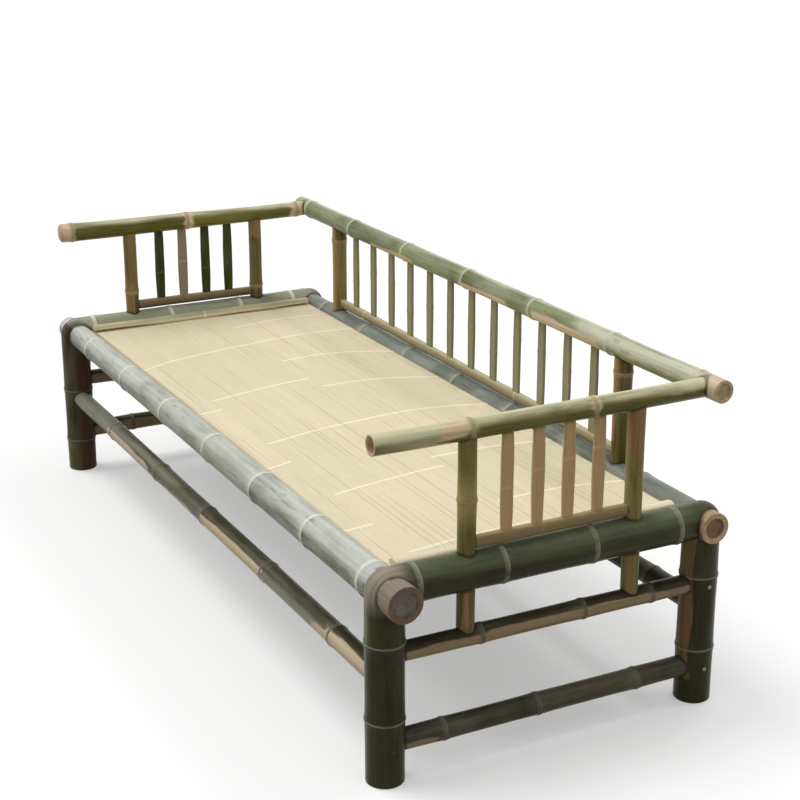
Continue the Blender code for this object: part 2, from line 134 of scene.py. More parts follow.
class Shade:
    """A value or colour that changes over a surface; each sum on it becomes a node of its tree."""

    def __init__(self, socket):
        self.socket = socket
        self.tree = socket.id_data

    def calc(self, operation, *others):
        """One sum with other values."""
        return Shade(add(self.tree, "Math", self, *others, operation=operation).outputs[0])

    def __add__(self, other):
        return self.calc("ADD", other)

    def __sub__(self, other):
        return self.calc("SUBTRACT", other)

    def __mul__(self, other):
        return self.calc("MULTIPLY", other)

    def most(self, other):
        """The larger of two values."""
        return self.calc("MAXIMUM", other)

    def least(self, other):
        """The smaller of two values."""
        return self.calc("MINIMUM", other)

    def eased(self, low, high):
        """0 at low and 1 at high, with a soft step between; low may be the larger."""
        made = add(self.tree, "MapRange", self, low, high, 0.0, 1.0, interpolation_type="SMOOTHSTEP")
        return Shade(made.outputs[0])

    def between(self, under, over):
        """Colour over laid on colour under, by this share."""
        return blended(self.tree, "MIX", self, under, over)

    def shaded(self, by):
        """This times a value or a colour."""
        return blended(self.tree, "MULTIPLY", 1.0, self, by)


def seen(tree):
    """1 where a surface is seen, straight, mirrored or through something clear, and 0 in bounced light."""
    rays = add(tree, "LightPath").outputs
    straight = Shade(rays["Is Camera Ray"])
    return straight.most(rays["Is Glossy Ray"]).most(rays["Is Transmission Ray"])


floor_mesh = bmesh.new()
bmesh.ops.create_grid(floor_mesh, x_segments=1, y_segments=1, size=FLOOR_HALF)
floor_data = bpy.data.meshes.new("floor")
floor_mesh.to_mesh(floor_data)
floor_mesh.free()
floor_finish = bpy.data.materials.new("pale_floor")
floor_finish.use_nodes = True
floor_tree = floor_finish.node_tree
floor_inputs = floor_tree.nodes["Principled BSDF"].inputs
feed(floor_inputs["Base Color"], seen(floor_tree).between(FLOOR_BOUNCE, FLOOR_SEEN))
feed(floor_inputs["Emission Color"], seen(floor_tree).between(BLACK, FLOOR_LIFT))
floor_inputs["Emission Strength"].default_value = 1.0
floor_inputs["Roughness"].default_value = FLOOR_ROUGHNESS
floor_inputs["Specular IOR Level"].default_value = 0.0
floor_data.materials.append(floor_finish)
floor = put("floor", floor_data)

sky = bpy.data.worlds.new("white_sky")
sky.use_nodes = True
sky_tree = sky.node_tree
sky_tree.nodes.clear()
sky_light = add(sky_tree, "Background", WHITE, SKY_LIGHT)
sky_shown = add(sky_tree, "Background", WHITE, 1.0)
sky_mix = add(sky_tree, "MixShader", seen(sky_tree), sky_light.outputs[0], sky_shown.outputs[0])
add(sky_tree, "OutputWorld", sky_mix.outputs[0])
bpy.context.scene.world = sky

sun_data = bpy.data.lights.new("sun", "SUN")
sun_data.energy = SUN_STRENGTH
sun_data.angle = SUN_SPREAD
sun = put("sun", sun_data)
sun.rotation_euler = SUN_FROM.to_track_quat("Z", "Y").to_euler()

for softbox_name, place, target, sides, watts in SOFTBOXES:
    softbox_data = bpy.data.lights.new(softbox_name, "AREA")
    softbox_data.shape = "RECTANGLE"
    softbox_data.size, softbox_data.size_y = sides
    softbox_data.energy = watts
    point(put(softbox_name, softbox_data), place, target)


# Long rails
# Two whole culms carry the seat along the front and the back, and come out through the folded end frames.
# They are green bamboo under its grey wax, sawn square, with the node's diaphragm just inside each end.
NODE_HALF = 0.011  # half the length of a node's swelling
NODE_RIDGE = 0.0016  # height of the sheath scar that rings it
NODE_OUTLINE = (  # along and rise, as shares of those two: the scar's lip, and the softer ridge past it
    (-1.0, 0.0), (-0.55, 0.22), (-0.27, 0.5), (-0.17, 0.3), (-0.1, 0.95),
    (0.05, 1.0), (0.13, 0.45), (0.3, 0.75), (0.62, 0.3), (1.0, 0.0),
)
NODE_SWELL = 0.0007  # broad thickening of the culm towards a node
SWELL_REACH = 0.03
ROOT_REACH = 0.09  # how far wax and the painted shade line go on the root side of a node
ROOT_FADE = 0.03
ROOT_EDGE = 0.003
PATCH_FADE = 0.03  # soft edge of a dry or bleached patch along the culm
PATCH_TURN_FADE = 0.4  # and round it, in radians
SAWN_EDGE = 0.0008
END_CLEAR = 0.012  # no ring for a joint is nearer to a culm's end
RING_STEP = 0.03
RINGS_APART = 0.0006
FRAME_RADIUS = 0.0385
FRAME_RIDGE = 0.0015  # what a node's ring adds in the solid, and so in its box
ARM_BACK_RADIUS = 0.0205  # of both arm rails where they join the top rail
DIRT_AND_SHADE_REACH = 0.006  # how far dirt and painted shade spread out of a joint
DIRT_AND_SHADE_STEP = 0.003
GRAIN_SHIFT = 40  # how far a culm's streaks and clouds may lie from another's
OVAL_LEAST, OVAL_MOST = 0.003, 0.010
DIRT_AND_SHADE_BROWN = (0.020, 0.015, 0.009)
NODE_FOOT_SHADE = (0.03, 0.025, 0.012)
WAX_GREY = (0.60, 0.62, 0.54)
SCORCH_BROWN = (0.30, 0.26, 0.195)
CUT_DOTS = (0.20, 0.11, 0.05)
SHARP_ANGLE = math.radians(38)
BUMP_STRENGTH = 0.6
SKIN_RELIEF = 0.0007
SAWN_RELIEF = 0.0006
DULL_SHINE = 0.13
MARKS = ("from_node", "root_side", "waxed", "tone", "dry", "bleach", "scorch", "depth", "split", "dirt_and_shade")


def drawn_out(place, stretch):
    """A place scaled by so much in each way."""
    return add(place.tree, "VectorMath", place, stretch, operation="MULTIPLY").outputs[0]


def mottled(place, stretch, detail=2.0):
    """Soft noise about 0.5, with so many cells to the metre across, across and along the grain."""
    made = add(place.tree, "TexNoise", drawn_out(place, stretch))
    made.inputs["Scale"].default_value = 1.0
    made.inputs["Detail"].default_value = detail
    return Shade(made.outputs[0])


def dotted(place, stretch):
    """How far the nearest of scattered dots is, with so many to the metre in each way."""
    made = add(place.tree, "TexVoronoi", drawn_out(place, stretch))
    made.inputs["Scale"].default_value = 1.0
    return Shade(made.outputs[0])


def read(tree, name):
    """A value that the piece's own mesh holds."""
    return Shade(add(tree, "Attribute", attribute_name=name).outputs["Fac"])


def read_grain(tree):
    """Place in the culm: two ways across it and one along it, in metres, as if it were straight."""
    return Shade(add(tree, "Attribute", attribute_name="grain").outputs["Vector"])


def new_group(name, colours, values=()):
    """Empty shader node group with its inputs, and with a colour, a roughness and a height to put out."""
    tree = bpy.data.node_groups.new(name, "ShaderNodeTree")
    for label in (*colours, *values):
        kind = "NodeSocketColor" if label in colours else "NodeSocketFloat"
        tree.interface.new_socket(label, in_out="INPUT", socket_type=kind)
    for label, kind in (("Color", "Color"), ("Roughness", "Float"), ("Height", "Float")):
        tree.interface.new_socket(label, in_out="OUTPUT", socket_type="NodeSocket" + kind)
    given = {socket.name: Shade(socket) for socket in tree.nodes.new("NodeGroupInput").outputs}
    return tree, given, tree.nodes.new("NodeGroupOutput").inputs


def bamboo_skin():
    """Group for the outer skin: streaks, wax, sun bleaching with painted highlight, rubbed lines, pale node
    rings with a painted shade line at their feet, dry patches, scorching, and dirt with painted shade at
    joints.
    """
    colours = ("Deep", "Pale", "Dry", "Bleached_and_highlit", "Ring")
    tree, given, result = new_group("bamboo_skin", colours, ("Wax", "Rubbed", "Polish"))
    grain = read_grain(tree)
    from_node = read(tree, "from_node")
    root_side = read(tree, "root_side")
    waxed = read(tree, "waxed")
    streak = mottled(grain, (150.0, 150.0, 3.5), 3.0)
    cloud = mottled(grain, (17.0, 17.0, 5.0), 3.0)
    fibre = mottled(grain, (1000.0, 1000.0, 14.0))
    # green skin, lighter and darker by streak, by cloud and from one internode to the next
    lightness = streak * 0.45 + cloud * 0.55 + read(tree, "tone") * 0.30
    colour = lightness.eased(0.42, 0.88).between(given["Deep"], given["Pale"])
    colour = colour.shaded(fibre * 0.5 + 0.75)
    # wax: a film in patches, thick and white on the root side of each node
    film = mottled(grain, (26.0, 26.0, 9.0), 4.0).eased(0.42, 0.66)
    bloom = from_node.eased(0.05, 0.006) * root_side * (streak + 0.2)
    wax = (film * 0.6).most(bloom) * given["Wax"] * waxed
    wax = ((waxed - 1.0).most(0.0) * 0.45 + wax).least(0.9)
    colour = wax.between(colour, WAX_GREY)
    # sun-bleached backs with painted highlight along the lit tops, with ragged edges drawn out along the
    # grain
    ragged = mottled(grain, (48.0, 48.0, 7.0), 3.0) - 0.5
    bleach = (ragged * 0.9 + read(tree, "bleach")).eased(0.15, 0.95) * 0.9
    colour = bleach.between(colour, given["Bleached_and_highlit"].shaded(streak * 0.6 + 0.7))
    # rubbed lines, in places, where things slid along the culm and took the wax off
    scuff = mottled(grain, (95.0, 95.0, 16.0)).eased(0.56, 0.68) * cloud.eased(0.42, 0.62)
    colour = (scuff * given["Rubbed"]).between(colour, given["Deep"])
    # dry patches
    dry = (ragged * 1.1 + read(tree, "dry")).eased(0.40, 0.62)
    colour = dry.between(colour, given["Dry"].shaded(streak + 0.5))
    # heat marks at the folds
    scorch = read(tree, "scorch") * cloud.eased(0.05, 0.45)
    colour = scorch.between(colour, (streak * 1.2 + 0.4).shaded(SCORCH_BROWN))
    # specks, then painted shade as a dark line at each node's foot, under the scar's lip, and its pale ring
    speck = dotted(grain, (170.0, 170.0, 55.0)).eased(0.16, 0.07) * 0.45
    colour = speck.between(colour, DIRT_AND_SHADE_BROWN)
    foot = (from_node - 0.0045).calc("ABSOLUTE").eased(0.0024, 0.0006) * root_side * 0.45
    colour = foot.between(colour, NODE_FOOT_SHADE)
    band = from_node.eased(0.011, 0.005) * root_side * (streak + 0.2) * waxed.eased(0.5, 1.0)
    ring = from_node.eased(0.0034, 0.0013).most(band) * cloud.eased(0.12, 0.48) * waxed.least(1.0)
    colour = ring.between(colour, given["Ring"])
    # dirt and painted shade where pieces meet
    dirt_and_shade = read(tree, "dirt_and_shade").eased(0.0, 0.95) * (cloud + 0.35)
    feed(result["Color"], dirt_and_shade.least(0.65).between(colour, DIRT_AND_SHADE_BROWN))
    rough = fibre * 0.14 + 0.30 + given["Polish"] * -0.16 + wax * 0.30
    feed(result["Roughness"], rough + dry.most(scorch) * 0.18)
    feed(result["Height"], streak * 0.6 + fibre + dry * -0.3)
    return tree


def sawn_end():
    """Group for sawn rims and the hollow behind them: tan fibre with dark bundles, and a brown diaphragm."""
    tree, given, result = new_group("sawn_end", ("Tan", "Diaphragm"))
    place = Shade(add(tree, "TexCoord").outputs["Object"])
    dots = dotted(place, (620.0, 620.0, 620.0)).eased(0.34, 0.18)
    cloud = mottled(place, (60.0, 60.0, 60.0), 3.0)
    rim = (dots * 0.6).between(given["Tan"].shaded(cloud * 1.1 + 0.45), CUT_DOTS)
    inside = read(tree, "depth").eased(0.0012, 0.0048)
    feed(result["Color"], inside.between(rim, given["Diaphragm"].shaded(cloud * 1.6 + 0.2)))
    feed(result["Roughness"], cloud * 0.3 + 0.5)
    feed(result["Height"], dots * -0.8 + cloud)
    return tree


SKIN = bamboo_skin()
SAWN = sawn_end()


def finish(name, group, relief, shine, **values):
    """Material whose colour, roughness and relief come from a group; relief is the bump's depth in metres."""
    made = bpy.data.materials.new(name)
    made.use_nodes = True
    tree = made.node_tree
    shader = tree.nodes["Principled BSDF"].inputs
    look = add(tree, "Group", node_tree=group)
    for label, value in values.items():
        feed(look.inputs[label], value)
    bump = add(tree, "Bump")
    bump.inputs["Strength"].default_value = BUMP_STRENGTH
    bump.inputs["Distance"].default_value = relief
    feed(bump.inputs["Height"], look.outputs["Height"])
    feed(shader["Base Color"], look.outputs["Color"])
    feed(shader["Roughness"], look.outputs["Roughness"])
    feed(shader["Normal"], bump.outputs["Normal"])
    shader["Specular IOR Level"].default_value = shine
    return made


def skin(name, deep, pale, dry, bleached, ring, wax, rubbed, polish=0.0, shine=DULL_SHINE):
    """Finish of a culm's outside, with its own colours and its shares of wax, wear and polish."""
    colours = {"Deep": deep, "Pale": pale, "Dry": dry, "Bleached_and_highlit": bleached, "Ring": ring}
    return finish(name, SKIN, SKIN_RELIEF, shine, **colours, Wax=wax, Rubbed=rubbed, Polish=polish)


def sawn(name, tan, diaphragm):
    """Finish of a sawn end: its rim, and the diaphragm inside it."""
    return finish(name, SAWN, SAWN_RELIEF, DULL_SHINE, Tan=tan, Diaphragm=diaphragm)


def held(value):
    """A value kept from 0 to 1."""
    return min(1.0, max(0.0, value))


def blank():
    """Empty mesh, and the layers in which its corners hold what the finishes read."""
    mesh = bmesh.new()
    marks = {"grain": mesh.verts.layers.float_vector.new("grain")}
    for label in MARKS:
        marks[label] = mesh.verts.layers.float.new(label)
    return mesh, marks


def mark(vert, marks, **values):
    """Sets what a corner holds for the finishes."""
    for label, value in values.items():
        vert[marks[label]] = value


def beside_node(nodes, along):
    """Marks for how far a place is from the nearest node, and whether it is on the root side of it."""
    past = min((along - node for node in nodes), key=abs, default=1.0)
    near = held((ROOT_REACH - abs(past)) / ROOT_FADE)
    return {"from_node": abs(past), "root_side": near * held(0.5 - past / ROOT_EDGE)}


def patch_share(patches, along, angle):
    """How far a place is in patches on the skin: half a patch's strength on its edge, all inside."""
    share = 0.0
    for middle, half, turn, half_turn, strength in patches:
        off = abs((angle - math.radians(turn) + math.pi) % math.tau - math.pi)
        inside_along = (half - abs(along - middle)) / PATCH_FADE
        inside_turn = (math.radians(half_turn) - off) / PATCH_TURN_FADE
        share = max(share, strength * min(1.0, 0.5 + 0.5 * min(inside_along, inside_turn)))
    return share


def node_rise(past):
    """How far a node's outline stands out of the culm, at a distance past its middle."""
    share = past / NODE_HALF
    if abs(share) >= 1:
        return 0.0
    i = bisect.bisect([place for place, _ in NODE_OUTLINE], share)
    (here, low), (there, high) = NODE_OUTLINE[i - 1 : i + 1]
    return NODE_RIDGE * (low + (high - low) * (share - here) / (there - here))


def swell_at(nodes, along):
    """How far a culm is thickened by the nodes near a place."""
    return NODE_SWELL * sum(math.exp(-(((along - node) / SWELL_REACH) ** 2)) for node in nodes)


def run_of(node):
    """The two ends of a straight piece's axis, from the box that its solid fills."""
    low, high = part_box(node)
    start = (low + high) / 2
    end = start.copy()
    longest = max(range(3), key=lambda way: high[way] - low[way])
    start[longest] = low[longest]
    end[longest] = high[longest]
    return start, end


def length_of(node):
    """How long a straight piece is."""
    start, end = run_of(node)
    return (end - start).length


def along_of(node, places):
    """Distances along a straight piece of places that are given in the daybed's own frame."""
    start, end = run_of(node)
    longest = max(range(3), key=lambda way: end[way] - start[way])
    return [place - start[longest] for place in places]


def frame_place(node):
    """Where an end frame is along the bed, where its back leg is across it, and how high its rail is."""
    low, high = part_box(node)
    leg_y = high.y - FRAME_RADIUS - FRAME_RIDGE
    rail_z = high.z - FRAME_RADIUS - FRAME_RIDGE
    return (low.x + high.x) / 2, leg_y, rail_z


def axes_of(node):
    """Axis lines of a piece, as (start, end, radius): one, or a leg, a leg and a rail in an end frame."""
    if "end_frame" not in node:
        low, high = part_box(node)
        start, end = run_of(node)
        radius = ARM_BACK_RADIUS if "arm_rail" in node else sorted(high - low)[0] / 2 - FRAME_RIDGE
        return [(start, end, radius)]
    x, leg_y, rail_z = frame_place(node)
    foot, shoulder = Vector((x, leg_y, 0)), Vector((x, leg_y, rail_z))
    flip = Vector((1, -1, 1))
    lines = ((foot, shoulder), (foot * flip, shoulder * flip), (shoulder * flip, shoulder))
    return [(start, end, FRAME_RADIUS) for start, end in lines]


JOINED_SLOTS = ("long_rail", "end_frame", "stretcher", "arm_rail", "post", "top_rail", "strip")
AXES = {
    part["node"]: axes_of(part["node"])
    for part in frame["record"]["subparts"]
    if part["material_slot"] in JOINED_SLOTS
}


def neighbours(node):
    """Axis lines of the other pieces that come up to a piece's box."""
    low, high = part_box(node)
    found = []
    for other, lines in AXES.items():
        for start, end, radius in lines if other != node else ():
            reach = radius + DIRT_AND_SHADE_REACH
            below = all(min(start[way], end[way]) - reach < high[way] for way in range(3))
            above = all(max(start[way], end[way]) + reach > low[way] for way in range(3))
            if below and above:
                found.append((start, end, radius))
    return found


def crossings(start, end, radius, lines):
    """Where other pieces cross a culm, as (along, least and greatest distance that their skins reach)."""
    run = (end - start).normalized()
    found = []
    for here, there, other_radius in lines:
        way = (there - here).normalized()
        along = (here - start).dot(run)
        off = abs((here - start).dot(run.cross(way)))
        reached = (start + run * along - here).dot(way)
        if abs(run.dot(way)) < 0.5 and off < radius + other_radius:
            if -radius - DIRT_AND_SHADE_REACH < reached < (there - here).length + radius + DIRT_AND_SHADE_REACH:
                found.append((along, max(0.0, other_radius - radius), other_radius + DIRT_AND_SHADE_REACH))
    return found


def ring_places(even, nodes, outline_way, joints, low, high):
    """Where a culm needs rings of corners, as (along, rise): evenly, over each node, and beside joints."""
    places = [a for a in even if all(abs(a - node) > 1.2 * NODE_HALF for node in nodes)]
    for node in nodes:
        places += [node + outline_way * share * NODE_HALF for share, _ in NODE_OUTLINE]
    for middle, near, far in joints:
        for i in range(round((far - near) / DIRT_AND_SHADE_STEP) + 1):
            for place in (middle - near - i * DIRT_AND_SHADE_STEP, middle + near + i * DIRT_AND_SHADE_STEP):
                if low < place < high and all(abs(place - other) > RINGS_APART for other in places):
                    places.append(place)

    def rise(place):
        return max((node_rise(outline_way * (place - node)) for node in nodes), default=0.0)

    return [(place, rise(place)) for place in sorted(places)]


def dirt_and_shade_at(place, lines):
    """Dirt and painted shade where a place meets other pieces: 1 at the joint, and 0 a little away from it.
    """
    least = DIRT_AND_SHADE_REACH
    for start, end, radius in lines:
        run = end - start
        length = run.length
        along = (place - start).dot(run) / length
        aside = (place - start - run * (along / length)).length - radius
        least = min(least, max(aside, -along, along - length))
    return 1.0 - max(0.0, least) / DIRT_AND_SHADE_REACH


def end_outline(radius, opening):
    """Half outline of a culm's end, from its axis outwards, as (radius, depth)."""
    rim = [(radius - SAWN_EDGE, 0.0), (radius, SAWN_EDGE)]
    if opening is None:
        return [(0.0, 0.0)] + rim
    if opening == "rounded":
        angles = (0, 0.5, 0.9, 1.2, 1.4, 1.57)
        return [(radius * math.sin(a), 0.35 * radius * (1 - math.cos(a))) for a in angles]
    wall, depth = opening
    bore = radius - wall
    floor_line = [(0.0, depth + 0.0012), (bore * 0.6, depth + 0.0008), (bore - 0.0012, depth - 0.0006)]
    return floor_line + [(bore, depth - 0.003), (bore, SAWN_EDGE), (bore + SAWN_EDGE, 0.0)] + rim


def culm(name, start, end, radii, nodes, sides=40, ends=(None, None), bow=0.0012, dry=(), bleach=()):
    """Round culm from start to end, spun from its half outline, with nodes at distances along it.

    An end is None where it is sawn flat, "rounded" where it is trimmed at a node, or (wall, depth) where it
    is open down to its diaphragm.
    A dry patch, or a sun-bleached patch that also paints highlight, is (along, half length, turn, half turn,
    strength), turned in degrees from the top, or from +X on an upright.
    """
    length = (end - start).length
    chance = random.Random(name)
    tones = [chance.random() for _ in range(len(nodes) + 1)]
    shift = chance.uniform(0, GRAIN_SHIFT)
    oval = chance.uniform(OVAL_LEAST, OVAL_MOST)
    oval_turn = chance.uniform(0, math.pi)
    bow_turn = chance.uniform(0, math.tau)

    def radius_at(along):
        return radii[0] + (radii[1] - radii[0]) * along / length + swell_at(nodes, along)

    count = max(2, round(length / RING_STEP))
    even = [i * length / count for i in range(1, count)]
    joints = crossings(start, end, max(radii), neighbours(name))
    rings = ring_places(even, nodes, 1, joints, END_CLEAR, length - END_CLEAR)
    outline = end_outline(radius_at(0), ends[0])
    outline += [(radius_at(along) + rise, along) for along, rise in rings]
    far_end = end_outline(radius_at(length), ends[1])
    outline += [(radius, length - depth) for radius, depth in reversed(far_end)]

    mesh, marks = blank()
    corners = [mesh.verts.new((radius, 0, along)) for radius, along in outline]
    for pair in zip(corners, corners[1:]):
        mesh.edges.new(pair)
    bmesh.ops.spin(
        mesh,
        geom=mesh.verts[:] + mesh.edges[:],
        cent=(0, 0, 0),
        axis=(0, 0, 1),
        angle=math.tau,
        steps=sides,
        use_merge=True,
    )
    bmesh.ops.remove_doubles(mesh, verts=mesh.verts, dist=0.000001)
    for face in mesh.faces:
        middle = face.calc_center_median()
        face.material_index = int(math.hypot(middle.x, middle.y) < radius_at(middle.z) - 1.5 * SAWN_EDGE)
    for vert in mesh.verts:
        along = vert.co.z
        angle = math.atan2(vert.co.y, vert.co.x)
        mark(
            vert,
            marks,
            grain=(vert.co.x, vert.co.y, along + shift),
            waxed=1.0,
            tone=tones[bisect.bisect(nodes, along)],
            dry=patch_share(dry, along, angle),
            bleach=patch_share(bleach, along, angle),
            depth=min(along, length - along),
            **beside_node(nodes, along),
        )
        stretch = 1 + oval * math.cos(2 * (angle - oval_turn))
        share = along / length
        lean = bow * (0.7 * math.sin(math.pi * share) + 0.3 * math.sin(3 * math.pi * share))
        vert.co.x = vert.co.x * stretch + lean * math.cos(bow_turn)
        vert.co.y = vert.co.y * stretch + lean * math.sin(bow_turn)
    run = (end - start).normalized()
    up = Vector((1, 0, 0)) if abs(run.z) > 0.5 else Vector((0, 0, 1))
    turned = Matrix((up, run.cross(up), run)).transposed().to_4x4()
    mesh.transform(Matrix.Translation(start) @ turned)
    return mesh


def spaced(first, internode, length):
    """Distances of nodes that follow each other evenly along a culm."""
    return [first + i * internode for i in range(int((length - first) / internode) + 1)]


def turn_outwards(mesh):
    """Faces of a closed mesh all pointing out of it."""
    bmesh.ops.recalc_face_normals(mesh, faces=mesh.faces)
    if mesh.calc_volume(signed=True) < 0:
        bmesh.ops.reverse_faces(mesh, faces=mesh.faces)


def set_piece(node, kind, mesh, finishes):
    """Makes the mesh a piece that stands for a solid of the daybed, smooth but for its sharp edges."""
    turn_outwards(mesh)
    # dirt and painted shade near the pieces that meet this one
    dirt_and_shade = mesh.verts.layers.float["dirt_and_shade"]
    lines = neighbours(node)
    for vert in mesh.verts:
        vert[dirt_and_shade] = dirt_and_shade_at(vert.co, lines)
    data = bpy.data.meshes.new(f"{node}_{kind}")
    mesh.to_mesh(data)
    mesh.free()
    data.shade_smooth()
    data.set_sharp_from_angle(angle=SHARP_ANGLE)
    for look in finishes:
        data.materials.append(look)
    piece = put(f"{node}_{kind}", data)
    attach(piece, "root")
    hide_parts(node)


def set_culm(node, slot, finishes, radii, nodes, **shape):
    """Makes the culm that stands for a straight solid: its radii at both ends, its nodes and its shape."""
    start, end = run_of(node)
    set_piece(node, "culm", culm(node, start, end, radii, nodes, **shape), finishes)


PALE_END = sawn("sawn_end_pale", tan=(0.58, 0.42, 0.24), diaphragm=(0.30, 0.19, 0.115))
MAUVE_END = sawn("sawn_end_mauve", tan=(0.20, 0.135, 0.09), diaphragm=(0.20, 0.175, 0.155))
RAIL_SLATE = skin(
    "slate_grey_skin", deep=(0.09, 0.10, 0.08), pale=(0.20, 0.22, 0.18), dry=(0.46, 0.32, 0.19),
    bleached=(0.3, 0.32, 0.27), ring=(0.45, 0.44, 0.36), wax=0.3, rubbed=0.5,
)
RAIL_GREY = skin(
    "waxed_grey_green_skin", deep=(0.105, 0.11, 0.064), pale=(0.345, 0.36, 0.28), dry=(0.26, 0.222, 0.165),
    bleached=(0.585, 0.605, 0.555), ring=(0.85, 0.83, 0.72), wax=0.6, rubbed=0.45, shine=0.09,
)
FRONT_RAIL_NODES = (-1.001, -0.784, -0.492, -0.194, 0.097, 0.377, 0.648, 0.903)
BACK_RAIL_FIRST_NODE = 0.190
BACK_RAIL_INTERNODE = 0.262
RAIL_SIDES = 48
set_culm(
    "front_rail",
    "long_rail",
    (RAIL_GREY, MAUVE_END),
    radii=(0.031, 0.037),
    nodes=along_of("front_rail", FRONT_RAIL_NODES),
    sides=RAIL_SIDES,
    ends=((0.009, 0.012), (0.011, 0.006)),
    dry=((1.98, 0.06, 180, 60, 1), (2.075, 0.08, 0, 200, 1)),
    bleach=((1.0, 1.2, 5, 74, 0.6), (0.3, 0.4, 5, 72, 0.8), (1.75, 0.28, 8, 66, 0.8)),
)
set_culm(
    "back_rail",
    "long_rail",
    (RAIL_SLATE, PALE_END),
    radii=(0.031, 0.033),
    nodes=spaced(BACK_RAIL_FIRST_NODE, BACK_RAIL_INTERNODE, length_of("back_rail")),
    sides=RAIL_SIDES,
    ends=((0.010, 0.012), (0.011, 0.008)),
    dry=((2.0, 0.035, 90, 200, 1),),
)


# End frames
# Each end is one thick culm folded into an upside-down U: its inner side is notched where the rails pass,
# the culm is heated and its wall is bent round them, so that leg, fold and end rail are one unbroken skin.
FRAME_SIDES = 72
FOLD_STEPS = 16
LEG_RINGS = 12
HALF_RAIL_RINGS = 11
FOLD_MIDDLE = 0.035  # radius at which the length of the fold is measured
FOLD_CLEAR = 0.004  # the leg's rings end this far under the end rail
SCORCH_REACH = 0.065
FOOT_EDGE = 0.002


def half_frame(edge, x, leg_y, rail_z, bend, leg_nodes, rail_nodes, lines):
    """Sections of one half of a frame, foot to middle, as (place, rise, along).

    A place turns a ring's (across, outwards) offsets from the culm's axis into (across, y, z).
    """
    inset = abs(leg_y) - abs(bend.y)

    def on_leg(height):
        return lambda across, outwards: (across, leg_y + edge * outwards, height)

    def in_fold(angle):
        def place(across, outwards):
            reach = outwards + inset
            if reach <= 0:
                return (across, bend.y + edge * reach, bend.z + reach)
            return (across, bend.y + edge * reach * math.cos(angle), bend.z + reach * math.sin(angle))

        return place

    def on_rail(y):
        return lambda across, outwards: (across, y, rail_z + outwards)

    leg_top = rail_z - FRAME_RADIUS - FOLD_CLEAR
    even = [i * leg_top / LEG_RINGS for i in range(1, LEG_RINGS + 1)]
    joints = crossings(Vector((x, leg_y, 0)), Vector((x, leg_y, rail_z)), FRAME_RADIUS, lines)
    heights = ring_places(even, leg_nodes, -edge, joints, END_CLEAR, leg_top)
    sections = [(on_leg(0.0), -FOOT_EDGE, 0.0), (on_leg(FOOT_EDGE), 0.0, FOOT_EDGE)]
    sections += [(on_leg(height), rise, height) for height, rise in heights]
    for i in range(FOLD_STEPS + 1):
        angle = math.pi / 2 * i / FOLD_STEPS
        sections.append((in_fold(angle), 0.0, bend.z + FOLD_MIDDLE * angle))
    fold_end = bend.z + FOLD_MIDDLE * math.pi / 2
    even = [abs(bend.y) * i / HALF_RAIL_RINGS for i in range(int(edge > 0), HALF_RAIL_RINGS)]
    nodes = [abs(y) for y in rail_nodes if y * edge > 0]
    joints = crossings(Vector((x, 0, rail_z)), Vector((x, edge, rail_z)), FRAME_RADIUS, lines)
    distances = ring_places(even, nodes, edge, joints, END_CLEAR, abs(bend.y) - END_CLEAR)
    for distance, rise in reversed(distances):
        sections.append((on_rail(edge * distance), rise, fold_end + abs(bend.y) - distance))
    return sections, fold_end + abs(bend.y)


def folded_culm(name, bends, leg_nodes, rail_nodes, dry, bleach, scorched, waxed):
    """The whole frame, ring by ring from the front foot to the back foot.

    scorched is how far each fold is, and waxed how much wax is left on the handled legs and on the rail.
    """
    lines = neighbours(name)
    x, leg_y, rail_z = frame_place(name)
    front, middle = half_frame(-1, x, -leg_y, rail_z, bends[0], leg_nodes[0], rail_nodes, lines)
    back, back_length = half_frame(1, x, leg_y, rail_z, bends[1], leg_nodes[1], rail_nodes, lines)
    length = middle + back_length
    sections = front + [(place, rise, length - along) for place, rise, along in reversed(back)]
    nodes = list(leg_nodes[0])
    nodes += [middle + y for y in rail_nodes]
    nodes += [length - node for node in reversed(leg_nodes[1])]
    folds = (bends[0].z + FOLD_MIDDLE * 0.8, length - bends[1].z - FOLD_MIDDLE * 0.8)
    chance = random.Random(name)
    tones = [chance.random() for _ in range(len(nodes) + 1)]
    shift = chance.uniform(0, GRAIN_SHIFT)
    mesh, marks = blank()
    last = None
    for i, (place, rise, along) in enumerate(sections):
        off_fold = [abs(along - fold) for fold in folds]
        heat = scorched[off_fold.index(min(off_fold))] * held(2.2 * (1 - min(off_fold) / SCORCH_REACH))
        made = bmesh.ops.create_circle(
            mesh,
            cap_ends=i in (0, len(sections) - 1),
            segments=FRAME_SIDES,
            radius=FRAME_RADIUS + rise + swell_at(nodes, along),
        )
        for vert in made["verts"]:
            across, outwards = vert.co.x, vert.co.y
            angle = math.atan2(across, outwards)
            mark(
                vert,
                marks,
                grain=(across, outwards, along + shift),
                waxed=waxed[folds[0] < along < folds[1]],
                tone=tones[bisect.bisect(nodes, along)],
                dry=patch_share(dry, along, angle),
                bleach=patch_share(bleach, along, angle),
                scorch=heat * held(0.6 + outwards / FRAME_RADIUS),
                **beside_node(nodes, along),
            )
            vert.co = place(across, outwards)
            vert.co.x += x
        edges = {edge for vert in made["verts"] for edge in vert.link_edges}
        if last:
            bmesh.ops.bridge_loops(mesh, edges=list(edges | last))
        last = edges
    bmesh.ops.remove_doubles(mesh, verts=mesh.verts, dist=0.00001)
    return mesh


